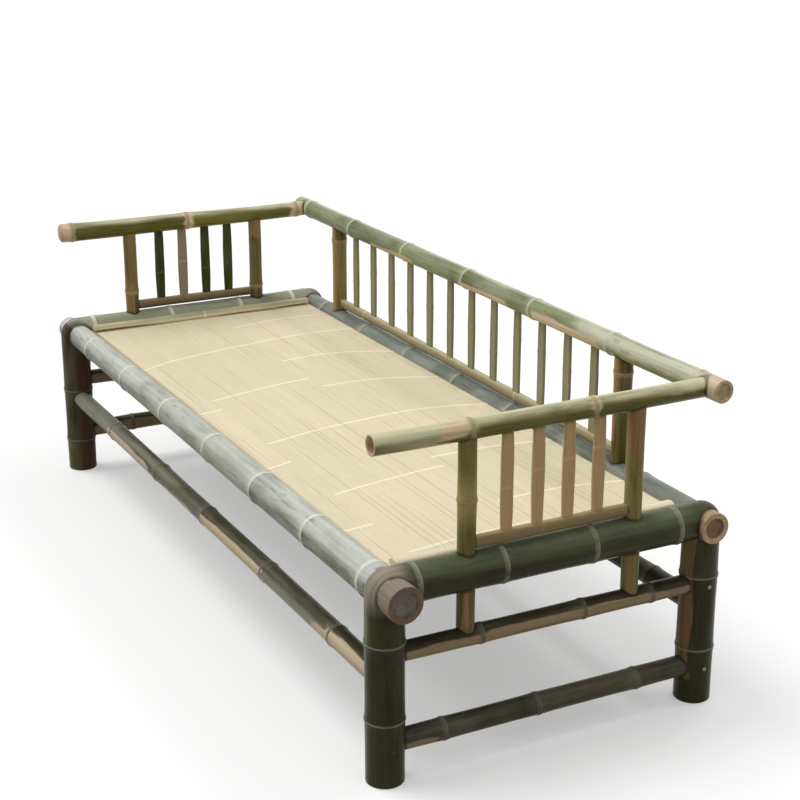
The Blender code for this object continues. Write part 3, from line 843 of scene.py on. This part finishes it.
DARK_GREEN = skin(
    "dark_green_skin", deep=(0.022, 0.0155, 0.0022), pale=(0.050, 0.051, 0.0105), dry=(0.20, 0.13, 0.062),
    bleached=(0.113, 0.14, 0.068), ring=(0.30, 0.29, 0.20), wax=0.04, rubbed=0.2, polish=1.0, shine=0.10,
)
SILVER_GREEN = skin(
    "silvery_green_skin", deep=(0.045, 0.035, 0.008), pale=(0.09, 0.083, 0.022), dry=(0.10, 0.055, 0.028),
    bleached=(0.33, 0.335, 0.225), ring=(0.80, 0.78, 0.64), wax=0.8, rubbed=0.3, polish=0.3, shine=0.08,
)
# the folds go round the axes of the two rails
RAIL_BENDS = [(sum(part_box(f"{side}_rail"), Vector())) / 2 for side in ("front", "back")]
for end_name, look, leg_nodes, rail_nodes, dry, bleach, scorched, waxed in (
    (
        "left",
        SILVER_GREEN,
        ((0.090, 0.237), (0.105, 0.262)),
        (-0.309, -0.080, 0.132, 0.298),
        ((0.16, 0.19, 130, 60, 1),),
        ((0.81, 0.36, 0, 80, 0.9),),
        (0.1, 0.2),
        (0.15, 1.28),
    ),
    (
        "right",
        DARK_GREEN,
        ((0.134, 0.295), (0.122, 0.285)),
        (-0.304, -0.117, 0.087, 0.289),
        ((1.36, 0.20, 188, 48, 1),),
        ((0.81, 0.33, 20, 60, 0.75), (0.325, 0.05, -15, 40, 0.8)),
        (1.0, 0.1),
        (0.6, 1.0),
    ),
):
    node = f"{end_name}_end_frame"
    mesh = folded_culm(node, RAIL_BENDS, leg_nodes, rail_nodes, dry, bleach, scorched, waxed)
    set_piece(node, "culm", mesh, (look,))


# Stretchers
# Slimmer culms let into round mortises in the legs: one along the front, one along the back, two an end.
# Their skin is dark green above and has dried tan below, one internode more than the next.
LONG_STRETCHER_RADIUS = 0.023
UPPER_STRETCHER_RADIUS = 0.020
LOWER_STRETCHER_RADIUS = 0.022
STRETCHER_SIDES = 36
END_STRETCHER_BOW = 0.0025


def stretcher_skin(name, dry):
    """Finish of a stretcher, with its own dry tan."""
    return skin(
        name, deep=(0.032, 0.026, 0.0105), pale=(0.115, 0.104, 0.056), dry=dry,
        bleached=(0.235, 0.235, 0.165), ring=(0.18, 0.165, 0.11), wax=0.1, rubbed=0.3, polish=0.4, shine=0.08,
    )


FRONT_STRETCHER_GREEN = stretcher_skin("front_stretcher_skin", (0.55, 0.45, 0.31))
STRETCHER_GREEN = stretcher_skin("stretcher_skin", (0.34, 0.255, 0.145))
set_culm(
    "front_stretcher",
    "stretcher",
    (FRONT_STRETCHER_GREEN, PALE_END),
    radii=(LONG_STRETCHER_RADIUS, LONG_STRETCHER_RADIUS),
    nodes=[0.356, 0.700, 1.018, 1.376, 1.721],
    sides=STRETCHER_SIDES,
    dry=(
        (0.50, 0.17, 115, 56, 0.9),
        (0.86, 0.10, 122, 40, 0.6),
        (1.20, 0.19, 114, 60, 1),
        (1.69, 0.05, 112, 52, 0.8),
        (1.83, 0.13, 108, 66, 1),
    ),
    bleach=((0.18, 0.22, 20, 90, 0.8), (0.60, 0.25, 30, 40, 0.7), (1.55, 0.19, 100, 45, 0.9)),
)
set_culm(
    "back_stretcher",
    "stretcher",
    (STRETCHER_GREEN, PALE_END),
    radii=(LONG_STRETCHER_RADIUS, LONG_STRETCHER_RADIUS),
    nodes=spaced(0.140, 0.272, 1.90),
    sides=STRETCHER_SIDES,
    dry=((0.5, 0.2, 230, 60, 1), (1.4, 0.3, 200, 60, 1)),
)
DRY_ALL_BELOW = (0.37, 0.40, 180, 130, 1)
DRY_FRONT_BELOW = (0.37, 0.40, 150, 85, 1)
DRY_AT_LEG = (0.06, 0.05, 130, 40, 1)
for which, radius, nodes, dry in (
    ("left_upper", UPPER_STRETCHER_RADIUS, [0.13, 0.34, 0.55], DRY_ALL_BELOW),
    ("left_lower", LOWER_STRETCHER_RADIUS, [0.16, 0.37, 0.575], DRY_ALL_BELOW),
    ("right_upper", UPPER_STRETCHER_RADIUS, [0.21, 0.444, 0.607], DRY_FRONT_BELOW),
    ("right_lower", LOWER_STRETCHER_RADIUS, [0.13, 0.344, 0.579], DRY_AT_LEG),
):
    set_culm(
        f"{which}_stretcher",
        "stretcher",
        (STRETCHER_GREEN, PALE_END),
        radii=(radius, radius),
        nodes=nodes,
        sides=STRETCHER_SIDES,
        bow=END_STRETCHER_BOW,
        dry=(dry,),
    )


# Pegs
# Whittled bamboo pins driven through each leg into a stretcher's end, trimmed nearly flush outside.
# Those at the front are worn and dark, those at the back are still pale.
WORN_PEG = sawn("sawn_end_worn", tan=(0.07, 0.05, 0.025), diaphragm=(0.05, 0.04, 0.02))
PEG_SIDES = 12
PEG_CHAMFER = 0.0009


def peg(node):
    """Round pin with chamfered ends."""
    start, end = run_of(node)
    low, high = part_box(node)
    radius = (high.z - low.z) / 2
    mesh, _ = blank()
    bmesh.ops.create_cone(
        mesh,
        cap_ends=True,
        segments=PEG_SIDES,
        radius1=radius,
        radius2=radius,
        depth=(end - start).length,
        matrix=Matrix.Translation((start + end) / 2) @ Matrix.Rotation(math.pi / 2, 4, "Y"),
    )
    rims = [edge for edge in mesh.edges if abs(edge.verts[0].co.x - edge.verts[1].co.x) < 0.0001]
    bmesh.ops.bevel(
        mesh, geom=rims, offset=PEG_CHAMFER, segments=2, profile=0.5, affect="EDGES", material=-1
    )
    return mesh


for end_name in ("left", "right"):
    for level in ("upper", "lower"):
        for side, look in (("front", WORN_PEG), ("back", PALE_END)):
            node = f"{end_name}_{level}_{side}_peg"
            set_piece(node, "pin", peg(node), (look,))


# Seat bearers
# Five thin culms tenoned between the long rails carry the boards.
# They are dull, uneven green and brown, dried along the underside.
BEARER_SKIN = skin(
    "bearer_skin", deep=(0.07, 0.07, 0.035), pale=(0.18, 0.165, 0.09), dry=(0.30, 0.21, 0.12),
    bleached=(0.25, 0.23, 0.14), ring=(0.4, 0.36, 0.25), wax=0.2, rubbed=0.3,
)
BEARER_RADIUS = 0.017
BEARER_SIDES = 28
BEARER_FIRST_NODE = 0.08
BEARER_NODE_SHIFT = 0.03  # from one bearer to the next
BEARER_INTERNODE = 0.24
BEARER_CLEAR = 0.03  # no node is nearer to its far end
BEARER_DRY = (0.4, 0.2, 200, 60, 1)
for i in range(1, 6):
    node = f"seat_bearer_{i}"
    first_node = BEARER_FIRST_NODE + BEARER_NODE_SHIFT * i
    set_culm(
        node,
        "bearer",
        (BEARER_SKIN, PALE_END),
        radii=(BEARER_RADIUS, BEARER_RADIUS),
        nodes=spaced(first_node, BEARER_INTERNODE, length_of(node) - BEARER_CLEAR),
        sides=BEARER_SIDES,
        dry=(BEARER_DRY,),
    )


# Seat boards
# Culms slit many times, opened out and pressed flat, inner side up and nailed side by side as three boards.
# Each keeps its fibres' fine splits, and a pale line across it wherever a node's diaphragm was shaved off.
SPLIT_HALF = 0.0007  # half the width of a split at the top
SPLIT_DEPTH = 0.0022
SPLIT_EDGE = 0.012  # no split is nearer to a board's edge
STRIP_CROWN = 0.0004  # how far a strip's middle stands above its edges
STRIP_SHOULDER = 0.006  # how far in from a split it is that high
LINE_RIDGE = 0.0008  # stub of diaphragm left on a node line
LINE_HALF = 0.003
LINE_STEPS = (-2.2, -1.0, -0.4, 0.4, 1.0, 2.2)  # of its half width, where rows of corners lie beside a line
BOARD_STEP = 0.028
BOARD_WAVE = 0.0007
BOARD_GAP = 0.0003
RAIL_TUCK = 0.004  # how far a board's edge goes in under the rail's curve
SPLIT_RELIEF = 0.0006
GAP_AND_SHADE_BROWN = (0.03, 0.02, 0.01)


def split_fibre():
    """Group for split and inner faces: fibres, pores, stains, node lines, dark splits, painted shade along
    strips' lower edges, and dirt with painted shade at joints.
    """
    tree, given, result = new_group("split_fibre", ("Light", "Dark", "Tint", "Node", "Gap_and_shade"))
    grain = read_grain(tree)
    fibre = mottled(grain, (330.0, 330.0, 5.0), 3.0)
    fine = mottled(grain, (1300.0, 1300.0, 22.0))
    stain = mottled(grain, (11.0, 11.0, 3.0), 3.0)
    tone = stain * 0.9 + read(tree, "tone") * 0.6
    colour = tone.eased(0.45, 1.0).between(given["Light"], given["Tint"])
    colour = (fibre.eased(0.52, 0.28) * 0.4).between(colour, given["Dark"])
    colour = colour.shaded(fine * 0.24 + 0.88)
    pores = mottled(grain, (900.0, 900.0, 30.0), 1.0).eased(0.64, 0.72)
    colour = (pores * 0.25).between(colour, given["Dark"])
    colour = read(tree, "from_node").eased(0.0046, 0.0020).between(colour, given["Node"])
    # dark splits; on strips the same mark paints shade along the lower edge
    colour = read(tree, "split").between(colour, given["Gap_and_shade"])
    # dirt and painted shade where pieces meet
    dirt_and_shade = read(tree, "dirt_and_shade").eased(0.0, 1.0) * (stain + 0.15)
    feed(result["Color"], dirt_and_shade.between(colour, given["Gap_and_shade"]))
    feed(result["Roughness"], fine * 0.22 + 0.40)
    feed(result["Height"], fibre * 0.8 + fine * 0.6 + pores * -0.4)
    return tree


SPLIT = split_fibre()


def split_look(name, light, dark, tint, node, gap_and_shade=GAP_AND_SHADE_BROWN, shine=DULL_SHINE):
    """Finish of split bamboo's inner wood: its fibres, stain, node lines, the dirt in its splits, and painted
    shade at joints and along lower edges.
    """
    values = {"Light": light, "Dark": dark, "Tint": tint, "Node": node, "Gap_and_shade": gap_and_shade}
    return finish(name, SPLIT, SPLIT_RELIEF, shine, **values)


BOARD_CREAM = split_look(
    "pressed_cream_bamboo", light=(0.785, 0.665, 0.48), dark=(0.595, 0.48, 0.305), tint=(0.71, 0.64, 0.44),
    node=(0.93, 0.84, 0.64), gap_and_shade=(0.24, 0.17, 0.10), shine=0.15,
)
BOARD_UNDERSIDE = skin(
    "board_underside_skin", deep=(0.12, 0.13, 0.06), pale=(0.30, 0.31, 0.17), dry=(0.40, 0.30, 0.17),
    bleached=(0.4, 0.38, 0.24), ring=(0.5, 0.45, 0.3), wax=0.3, rubbed=0.3,
)


def chance_of(name):
    """A number of its own for each name, the same on every run."""
    return random.Random(name).uniform(0, 90)


def strip_rows(width, chance):
    """Places of the splits across a board, from one edge to the other."""
    rows = []
    place = chance.uniform(SPLIT_EDGE, 0.022)
    while place < width - SPLIT_EDGE:
        rows.append(place)
        place += chance.uniform(0.013, 0.027)
    return rows


def pressed_board(name, front_at, back_at, reach, low, top, lines):
    """Pressed board between a front and a back edge, each given as y at a place x along the bed.

    A line is a node's (x at the front edge, x at the back edge, how far it bows between them).
    """
    chance = random.Random(name)
    width = back_at(0) - front_at(0)
    splits = strip_rows(width, chance)
    rows = [(0.0, None)]
    strip_start = 0.0
    for i, split in enumerate(splits):
        rows.append(((strip_start + split) / 2, None))
        rows += [(split - SPLIT_HALF, None), (split, i), (split + SPLIT_HALF, None)]
        strip_start = split
    rows += [((strip_start + width) / 2, None), (width, None)]
    bounds = [Vector(line) for line in ((-reach, -reach, 0), *lines, (reach, reach, 0))]
    stops = [bounds[-1]]
    for here, there in zip(bounds, bounds[1:]):
        count = max(2, round((there.x - here.x) / BOARD_STEP))
        stops += [here.lerp(there, i / count) for i in range(count)]
    for line in bounds[1:-1]:
        stops += [line + Vector((step, step, 0)) * LINE_HALF for step in LINE_STEPS]
    stops.sort(key=lambda stop: stop.x)

    def line_at(line, share):
        return line[0] + (line[1] - line[0]) * share + line[2] * math.sin(math.pi * share)

    zone_tones = [chance.random() for _ in range(len(lines) + 1)]
    strip_tones = [chance.random() for _ in range(len(splits) + 1)]
    seed = chance_of(name)

    mesh, marks = blank()
    bmesh.ops.create_grid(mesh, x_segments=len(stops) - 1, y_segments=len(rows) - 1, size=0.5)
    for vert in mesh.verts:
        stop = stops[round((vert.co.x + 0.5) * (len(stops) - 1))]
        across, split = rows[round((vert.co.y + 0.5) * (len(rows) - 1))]
        share = across / width
        x = max(-reach, min(reach, line_at(stop, share)))
        y = front_at(x) + (back_at(x) - front_at(x)) * share
        nearest = min((x - line_at(line, share) for line in lines), key=abs)
        zone = sum(x > line_at(line, share) for line in lines)
        strip = bisect.bisect(splits, across)
        opened = 0.0
        if split is not None:
            opened = held(3.0 * noise.noise((x * 2.4, split * 70, seed)) + 0.5 * x - 0.2)
        from_split = min(abs(across - s) for s in splits)
        ridge = LINE_RIDGE * math.exp(-((nearest / LINE_HALF) ** 2))
        wave = BOARD_WAVE * noise.noise((x * 3.0, y * 9.0, 4.0))
        crown = STRIP_CROWN * min(1.0, from_split / STRIP_SHOULDER)
        vert.co = (x, y, top - STRIP_CROWN + crown + ridge + wave - SPLIT_DEPTH * opened)
        mark(
            vert,
            marks,
            grain=(y, 0.13 * strip, x),
            from_node=abs(nearest),
            waxed=1.0,
            tone=0.8 * zone_tones[zone] + 0.2 * strip_tones[strip],
            split=0.85 * opened,
        )
    for part in bmesh.ops.extrude_face_region(mesh, geom=mesh.faces[:])["geom"]:
        if isinstance(part, bmesh.types.BMVert):
            part.co.z = low
            part[marks["from_node"]] = 1.0
        elif isinstance(part, bmesh.types.BMFace):
            part.material_index = 1
    return mesh


middle_low, middle_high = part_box("seat_board_middle")
seat_low, seat_top = middle_low.z, middle_high.z
board_reach = middle_high.x


def beside_rail(side, inwards, radius, taper):
    """Edge of a board, as y at x, where it goes in under a rail that is thicker to the right."""
    low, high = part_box(f"{side}_rail")
    axis = (low + high) / 2

    def edge_at(x):
        rail_radius = radius + taper * x / high.x
        return axis.y + inwards * (math.sqrt(rail_radius**2 - (seat_top - axis.z) ** 2) - RAIL_TUCK)

    return edge_at


for which, front_at, back_at, lines in (
    (
        "front",
        beside_rail("front", 1, 0.034, 0.003),
        lambda x: middle_low.y - BOARD_GAP,
        ((-0.484, -0.522, -0.004), (-0.095, -0.108, 0), (0.318, 0.294, 0), (0.704, 0.698, 0)),
    ),
    (
        "middle",
        lambda x: middle_low.y,
        lambda x: middle_high.y,
        (
            (-0.527, -0.592, -0.008),
            (-0.178, -0.239, -0.006),
            (0.168, 0.113, -0.010),
            (0.519, 0.473, -0.007),
            (0.855, 0.83, -0.005),
        ),
    ),
    (
        "back",
        lambda x: middle_high.y + BOARD_GAP,
        beside_rail("back", -1, 0.032, 0.001),
        (
            (-0.757, -0.772, -0.018),
            (-0.596, -0.602, -0.012),
            (-0.404, -0.348, -0.033),
            (-0.160, -0.092, -0.027),
            (0.112, 0.150, -0.022),
            (0.414, 0.440, -0.012),
            (0.705, 0.730, -0.016),
        ),
    ),
):
    node = f"seat_board_{which}"
    mesh = pressed_board(node, front_at, back_at, board_reach, seat_low, seat_top, lines)
    set_piece(node, "pressed", mesh, (BOARD_CREAM, BOARD_UNDERSIDE))


# End battens
# A split of culm laid skin up over the board ends at each end, from rail to rail, to hold them down.
# The left one is still yellow green, the right one has dried to cream.
BATTEN_SKIN = skin(
    "pale_batten_skin", deep=(0.40, 0.37, 0.22), pale=(0.62, 0.58, 0.37), dry=(0.60, 0.47, 0.28),
    bleached=(0.66, 0.62, 0.42), ring=(0.78, 0.73, 0.55), wax=0.3, rubbed=0.25,
)
BATTEN_CREAM = skin(
    "cream_batten_skin", deep=(0.68, 0.57, 0.39), pale=(0.86, 0.75, 0.55), dry=(0.60, 0.47, 0.28),
    bleached=(0.80, 0.74, 0.55), ring=(0.86, 0.80, 0.62), wax=0.1, rubbed=0.2,
)
BATTEN_ROUNDING = 0.005
BATTEN_STEPS = 40
BATTEN_ALONG_Y = Matrix(((1, 0, 0, 0), (0, 0, 1, 0), (0, 1, 0, 0), (0, 0, 0, 1)))
BAR_RIDGE = 0.0008  # what a node adds to each face of a split bar
BAR_RIDGE_HALF = 0.004


def split_bar(name, width, thickness, length, rounding, nodes, steps, shape, lower_edge_shade=0.0):
    """Split bar along +Z from its foot at the origin: a rounded section drawn out step by step, then shaped.

    shape(across, through, along) gives the place of a point in the same three ways.
    The last argument is how much painted shade darkens its lower edge.
    """
    chance = random.Random(name)
    shift = chance.uniform(0, GRAIN_SHIFT)
    tone = chance.random()
    mesh, marks = blank()
    bmesh.ops.create_grid(mesh, x_segments=6, y_segments=2, size=0.5)
    bmesh.ops.scale(mesh, vec=(width, thickness, 1), verts=mesh.verts)
    corners = [v for v in mesh.verts if len(v.link_edges) == 2]
    bmesh.ops.bevel(
        mesh, geom=corners, offset=rounding, segments=3, profile=0.5, affect="VERTICES", material=-1
    )
    bmesh.ops.remove_doubles(mesh, verts=mesh.verts, dist=0.00005)
    top = mesh.faces[:]
    for step in range(steps):
        made = bmesh.ops.extrude_face_region(mesh, geom=top)["geom"]
        raised = [part for part in made if isinstance(part, bmesh.types.BMVert)]
        bmesh.ops.translate(mesh, vec=(0, 0, length / steps), verts=raised)
        if step > 0:
            bmesh.ops.delete(mesh, geom=top, context="FACES")
        top = [part for part in made if isinstance(part, bmesh.types.BMFace)]
    turn_outwards(mesh)
    for face in mesh.faces:
        face.material_index = int(face.normal.y > 0.3)
    for vert in mesh.verts:
        across, through, along = vert.co
        nearest = min((along - node for node in nodes), key=abs, default=1.0)
        mark(
            vert,
            marks,
            grain=(across, through, along + shift),
            from_node=abs(nearest),
            waxed=1.0,
            tone=tone,
            # painted shade, darker towards the lower edge
            split=lower_edge_shade * held(0.45 - 1.6 * across / width),
        )
        vert.co = shape(across, through, along)
        vert.co.y += math.copysign(BAR_RIDGE, through) * math.exp(-((nearest / BAR_RIDGE_HALF) ** 2))
    return mesh


for end_name, look, places in (
    ("left", BATTEN_SKIN, (-0.132, 0.003, 0.141)),
    ("right", BATTEN_CREAM, (-0.21, 0.02, 0.24)),
):
    node = f"{end_name}_batten"
    low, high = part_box(node)
    width, length, thickness = high - low
    seed = chance_of(node)

    def crowned(across, through, along):
        if through <= 0:
            lifted = max(0.0, 0.0015 + 0.004 * noise.noise((along * 7, across * 20, seed)))
            return (across, through + lifted, along)
        sway = 0.0012 * noise.noise((along * 4, 3.0, seed))
        return (across + sway, through + 0.001 - 0.004 * (2 * across / width) ** 2, along)

    nodes = along_of(node, places)
    mesh = split_bar(node, width, thickness, length, BATTEN_ROUNDING, nodes, BATTEN_STEPS, crowned)
    foot = Vector(((low.x + high.x) / 2, low.y, (low.z + high.z) / 2))
    mesh.transform(Matrix.Translation(foot) @ BATTEN_ALONG_Y)
    set_piece(node, "split", mesh, (BOARD_CREAM, look))


# Top rail
# One whole culm along the top of the back, sawn open at both ends past the arms that are tenoned into it.
# It is a lighter grey green than the arms, dried pinkish tan in patches.
TOP_RAIL_SKIN = skin(
    "light_grey_green_skin", deep=(0.115, 0.132, 0.050), pale=(0.315, 0.35, 0.185), dry=(0.60, 0.49, 0.35),
    bleached=(0.60, 0.585, 0.45), ring=(0.62, 0.60, 0.46), wax=0.3, rubbed=0.35, polish=0.2,
)
CREAM_END = sawn("sawn_end_cream", tan=(0.66, 0.51, 0.33), diaphragm=(0.55, 0.41, 0.25))
TOP_RAIL_NODES = (-0.924, -0.638, -0.321, 0.001, 0.313, 0.629, 0.93)
set_culm(
    "back_top_rail",
    "top_rail",
    (TOP_RAIL_SKIN, CREAM_END),
    radii=(0.024, 0.024),
    nodes=along_of("back_top_rail", TOP_RAIL_NODES),
    ends=((0.006, 0.012), (0.007, 0.007)),
    dry=(
        (0.62, 0.12, 145, 45, 1),
        (1.10, 0.12, 130, 36, 1),
        (1.47, 0.14, 115, 34, 1),
        (1.99, 0.035, 90, 200, 1),
    ),
    bleach=((1.0, 1.2, -25, 36, 0.8), (1.75, 0.25, 55, 45, 0.85)),
)


# Arm rails
# A glossy olive culm at each end, its front end free and its back end scribed and tenoned into the top rail.
# The left one starts at a node, which closes its front end; the right one is sawn open.
ARM_OLIVE = skin(
    "glossy_olive_skin", deep=(0.052, 0.050, 0.006), pale=(0.18, 0.173, 0.036), dry=(0.68, 0.51, 0.33),
    bleached=(0.64, 0.62, 0.40), ring=(0.42, 0.36, 0.22), wax=0.06, rubbed=0.35, polish=1.0, shine=0.10,
)
ARM_BOW = 0.003
# the bleach patches are sun bleaching and painted highlight along the tops that catch the light
for end_name, front_radius, places, front_end, dry, bleach in (
    (
        "left",
        0.0255,
        (-0.355, -0.019, 0.32),
        "rounded",
        ((0.012, 0.030, 60, 110, 1), (0.372, 0.012, 60, 120, 1), (0.71, 0.030, 60, 120, 1)),
        ((0.4, 0.5, -25, 38, 0.9), (0.4, 0.5, 5, 54, 0.65)),
    ),
    (
        "right",
        0.0205,
        (-0.187, 0.083),
        (0.0042, 0.014),
        ((0.06, 0.12, 150, 45, 0.5), (0.165, 0.045, 60, 75, 0.6), (0.474, 0.008, 60, 150, 1)),
        (
            (0.09, 0.115, 15, 70, 1),
            (0.07, 0.09, 90, 60, 0.45),
            (0.45, 0.40, -18, 42, 0.9),
            (0.45, 0.40, 18, 54, 0.55),
            (0.72, 0.05, 10, 65, 1),
        ),
    ),
):
    node = f"{end_name}_arm_rail"
    set_culm(
        node,
        "arm_rail",
        (ARM_OLIVE, CREAM_END),
        radii=(front_radius, ARM_BACK_RADIUS),
        nodes=along_of(node, places),
        ends=(front_end, None),
        bow=ARM_BOW,
        dry=dry,
        bleach=bleach,
    )


# Posts
# Slim culms scribed round at both ends and tenoned: the arm posts stand on the upper end stretchers and run
# up through bored end rails, and the back posts stand on the back rail.
POST_OLIVE = skin(
    "post_skin", deep=(0.070, 0.057, 0.013), pale=(0.27, 0.217, 0.075), dry=(0.31, 0.185, 0.085),
    bleached=(0.40, 0.31, 0.125), ring=(0.40, 0.31, 0.14), wax=0.08, rubbed=0.3, polish=0.3, shine=0.08,
)
ARM_POST_RADIUS = 0.018
BACK_POST_RADIUS = 0.020
POST_SIDES = 32
POST_BOW = 0.001
for node, radius, node_at, dry, bleach in (
    ("left_front_arm_post", ARM_POST_RADIUS, 0.235, ((0.21, 0.05, 300, 60, 1),), ()),
    ("left_back_arm_post", ARM_POST_RADIUS, 0.210, ((0.385, 0.035, 330, 70, 1),), ()),
    (
        "right_front_arm_post",
        ARM_POST_RADIUS,
        0.281,
        ((0.07, 0.05, 330, 28, 0.8),),
        ((0.281, 0.05, 330, 120, 0.8),),
    ),
    (
        "right_back_arm_post",
        ARM_POST_RADIUS,
        0.140,
        ((0.06, 0.05, 330, 30, 0.8), (0.37, 0.06, 320, 60, 0.9)),
        (),
    ),
    ("left_back_post", BACK_POST_RADIUS, 0.235, (), ((0.18, 0.24, 235, 60, 1),)),
    ("right_back_post", BACK_POST_RADIUS, 0.235, ((0.20, 0.12, 250, 40, 1),), ()),
):
    set_culm(
        node,
        "post",
        (POST_OLIVE, PALE_END),
        radii=(radius, radius),
        nodes=[node_at],
        sides=POST_SIDES,
        bow=POST_BOW,
        dry=dry,
        bleach=bleach,
    )


# Strips
# Thick split bars that tongue into the posts, just above the end rails and the back rail.
# They carry the slats' feet, and painted shade darkens their lower edges.
STRIP_BROWN = split_look(
    "brown_split_bamboo", light=(0.38, 0.27, 0.13), dark=(0.23, 0.15, 0.07), tint=(0.34, 0.255, 0.125),
    node=(0.38, 0.28, 0.15),
)
STRIP_OLIVE = split_look(
    "olive_split_bamboo", light=(0.54, 0.44, 0.28), dark=(0.29, 0.22, 0.125), tint=(0.44, 0.385, 0.235),
    node=(0.62, 0.52, 0.34),
)
STRIP_DARK = split_look(
    "dark_split_bamboo", light=(0.31, 0.225, 0.12), dark=(0.14, 0.09, 0.045), tint=(0.245, 0.195, 0.10),
    node=(0.30, 0.22, 0.13),
)
STRIP_ROUNDING = 0.005
STRIP_STEP = 0.008
STRIP_FIRST_NODE = 0.16
STRIP_INTERNODE = 0.27
STRIP_CLEAR = 0.05  # no node is nearer to its far end
STRIP_ALONG = {
    "Y": Matrix(((0, 1, 0, 0), (0, 0, 1, 0), (1, 0, 0, 0), (0, 0, 0, 1))),
    "X": Matrix(((0, 0, 1, 0), (0, 1, 0, 0), (1, 0, 0, 0), (0, 0, 0, 1))),
}
# the last column is how much painted shade darkens a strip's lower edge
for node, way, look, lower_edge_shade in (
    ("left_arm_strip", "Y", STRIP_DARK, 0.70),
    ("right_arm_strip", "Y", STRIP_BROWN, 0.30),
    ("back_strip", "X", STRIP_OLIVE, 0.70),
):
    start, end = run_of(node)
    low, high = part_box(node)
    thickness = high.x - low.x if way == "Y" else high.y - low.y
    length = (end - start).length
    seed = chance_of(node)

    def uneven(across, through, along):
        sway = 0.0008 * noise.noise((seed, along * 5, 0.0))
        swell = 1 + 0.06 * noise.noise((seed, along * 8, 5.0))
        return (across * swell + sway, through * swell, along)

    nodes = spaced(STRIP_FIRST_NODE, STRIP_INTERNODE, length - STRIP_CLEAR)
    steps = round(length / STRIP_STEP)
    mesh = split_bar(node, high.z - low.z, thickness, length, STRIP_ROUNDING, nodes, steps, uneven, lower_edge_shade)
    mesh.transform(Matrix.Translation(start) @ STRIP_ALONG[way])
    set_piece(node, "split", mesh, (look, look))


# Slats
# Flat splits of culm, whittled narrower at both ends and tongued into the rail above and the strip below.
# They bow and wave a little, with the brown inner wood on one face and the green skin on the other.
SLAT_END_SHARE = 0.15  # how much narrower the ends are than the middle
SLAT_CUP = 0.0012
SLAT_SWAY = 0.0012
SLAT_ROUNDING = 0.0022
SLAT_STEPS = 48
ARM_SLAT_BROWN = split_look(
    "arm_slat_brown", light=(0.61, 0.405, 0.205), dark=(0.39, 0.24, 0.115), tint=(0.54, 0.375, 0.19),
    node=(0.62, 0.43, 0.23),
)
ARM_SLAT_GREY = split_look(
    "arm_slat_grey_brown", light=(0.32, 0.265, 0.19), dark=(0.18, 0.135, 0.09), tint=(0.28, 0.245, 0.17),
    node=(0.36, 0.31, 0.22),
)
ARM_SLAT_GREEN = skin(
    "arm_slat_green", deep=(0.03, 0.032, 0.008), pale=(0.075, 0.078, 0.026), dry=(0.2, 0.13, 0.07),
    bleached=(0.12, 0.12, 0.05), ring=(0.10, 0.10, 0.045), wax=0.08, rubbed=0.3, polish=0.2, shine=0.1,
)
BACK_SLAT_DRAB = split_look(
    "back_slat_drab", light=(0.305, 0.285, 0.165), dark=(0.165, 0.145, 0.08), tint=(0.26, 0.265, 0.14),
    node=(0.30, 0.275, 0.165),
)
BACK_SLAT_GREEN = skin(
    "back_slat_green", deep=(0.075, 0.08, 0.035), pale=(0.17, 0.175, 0.09), dry=(0.25, 0.18, 0.1),
    bleached=(0.22, 0.21, 0.12), ring=(0.24, 0.22, 0.13), wax=0.2, rubbed=0.3, shine=0.1,
)
SLAT_ACROSS = {
    "Y": Matrix(((0, -1, 0, 0), (1, 0, 0, 0), (0, 0, 1, 0), (0, 0, 0, 1))),
    "X": Matrix.Identity(4),
}


def slat(node, way):
    """One slat in place, its inner face to the outside of the daybed where it stands in an arm."""
    low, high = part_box(node)
    sizes = high - low
    width = sizes.y if way == "Y" else sizes.x
    thickness = sizes.x if way == "Y" else sizes.y
    length = sizes.z
    seed = chance_of(node)
    nodes = [random.Random(node).uniform(0.07, 0.15)]

    def whittled(across, through, along):
        share = 2 * along / length - 1
        narrow = 1 - SLAT_END_SHARE * share**2 - 0.05 * noise.noise((seed, along * 14, 1.0))
        sway = SLAT_SWAY * noise.noise((seed, along * 7, 2.0)) * (1 - share**2)
        cup = SLAT_CUP * (1 - (2 * across / width) ** 2)
        return (across * narrow + sway, through + cup - SLAT_CUP / 2, along)

    mesh = split_bar(node, width, thickness, length, SLAT_ROUNDING, nodes, SLAT_STEPS, whittled)
    middle = (low + high) / 2
    mesh.transform(Matrix.Translation((middle.x, middle.y, low.z)) @ SLAT_ACROSS[way])
    return mesh


for end_name in ("left", "right"):
    for i in range(1, 5):
        node = f"{end_name}_arm_slat_{i}"
        inner, outer = ARM_SLAT_BROWN, ARM_SLAT_GREEN
        if end_name == "left":
            inner = outer = ARM_SLAT_GREY if i == 2 else ARM_SLAT_GREEN
        set_piece(node, "split", slat(node, "Y"), (inner, outer))
for i in range(1, 13):
    node = f"back_slat_{i:02d}"
    set_piece(node, "split", slat(node, "X"), (BACK_SLAT_DRAB, BACK_SLAT_GREEN))
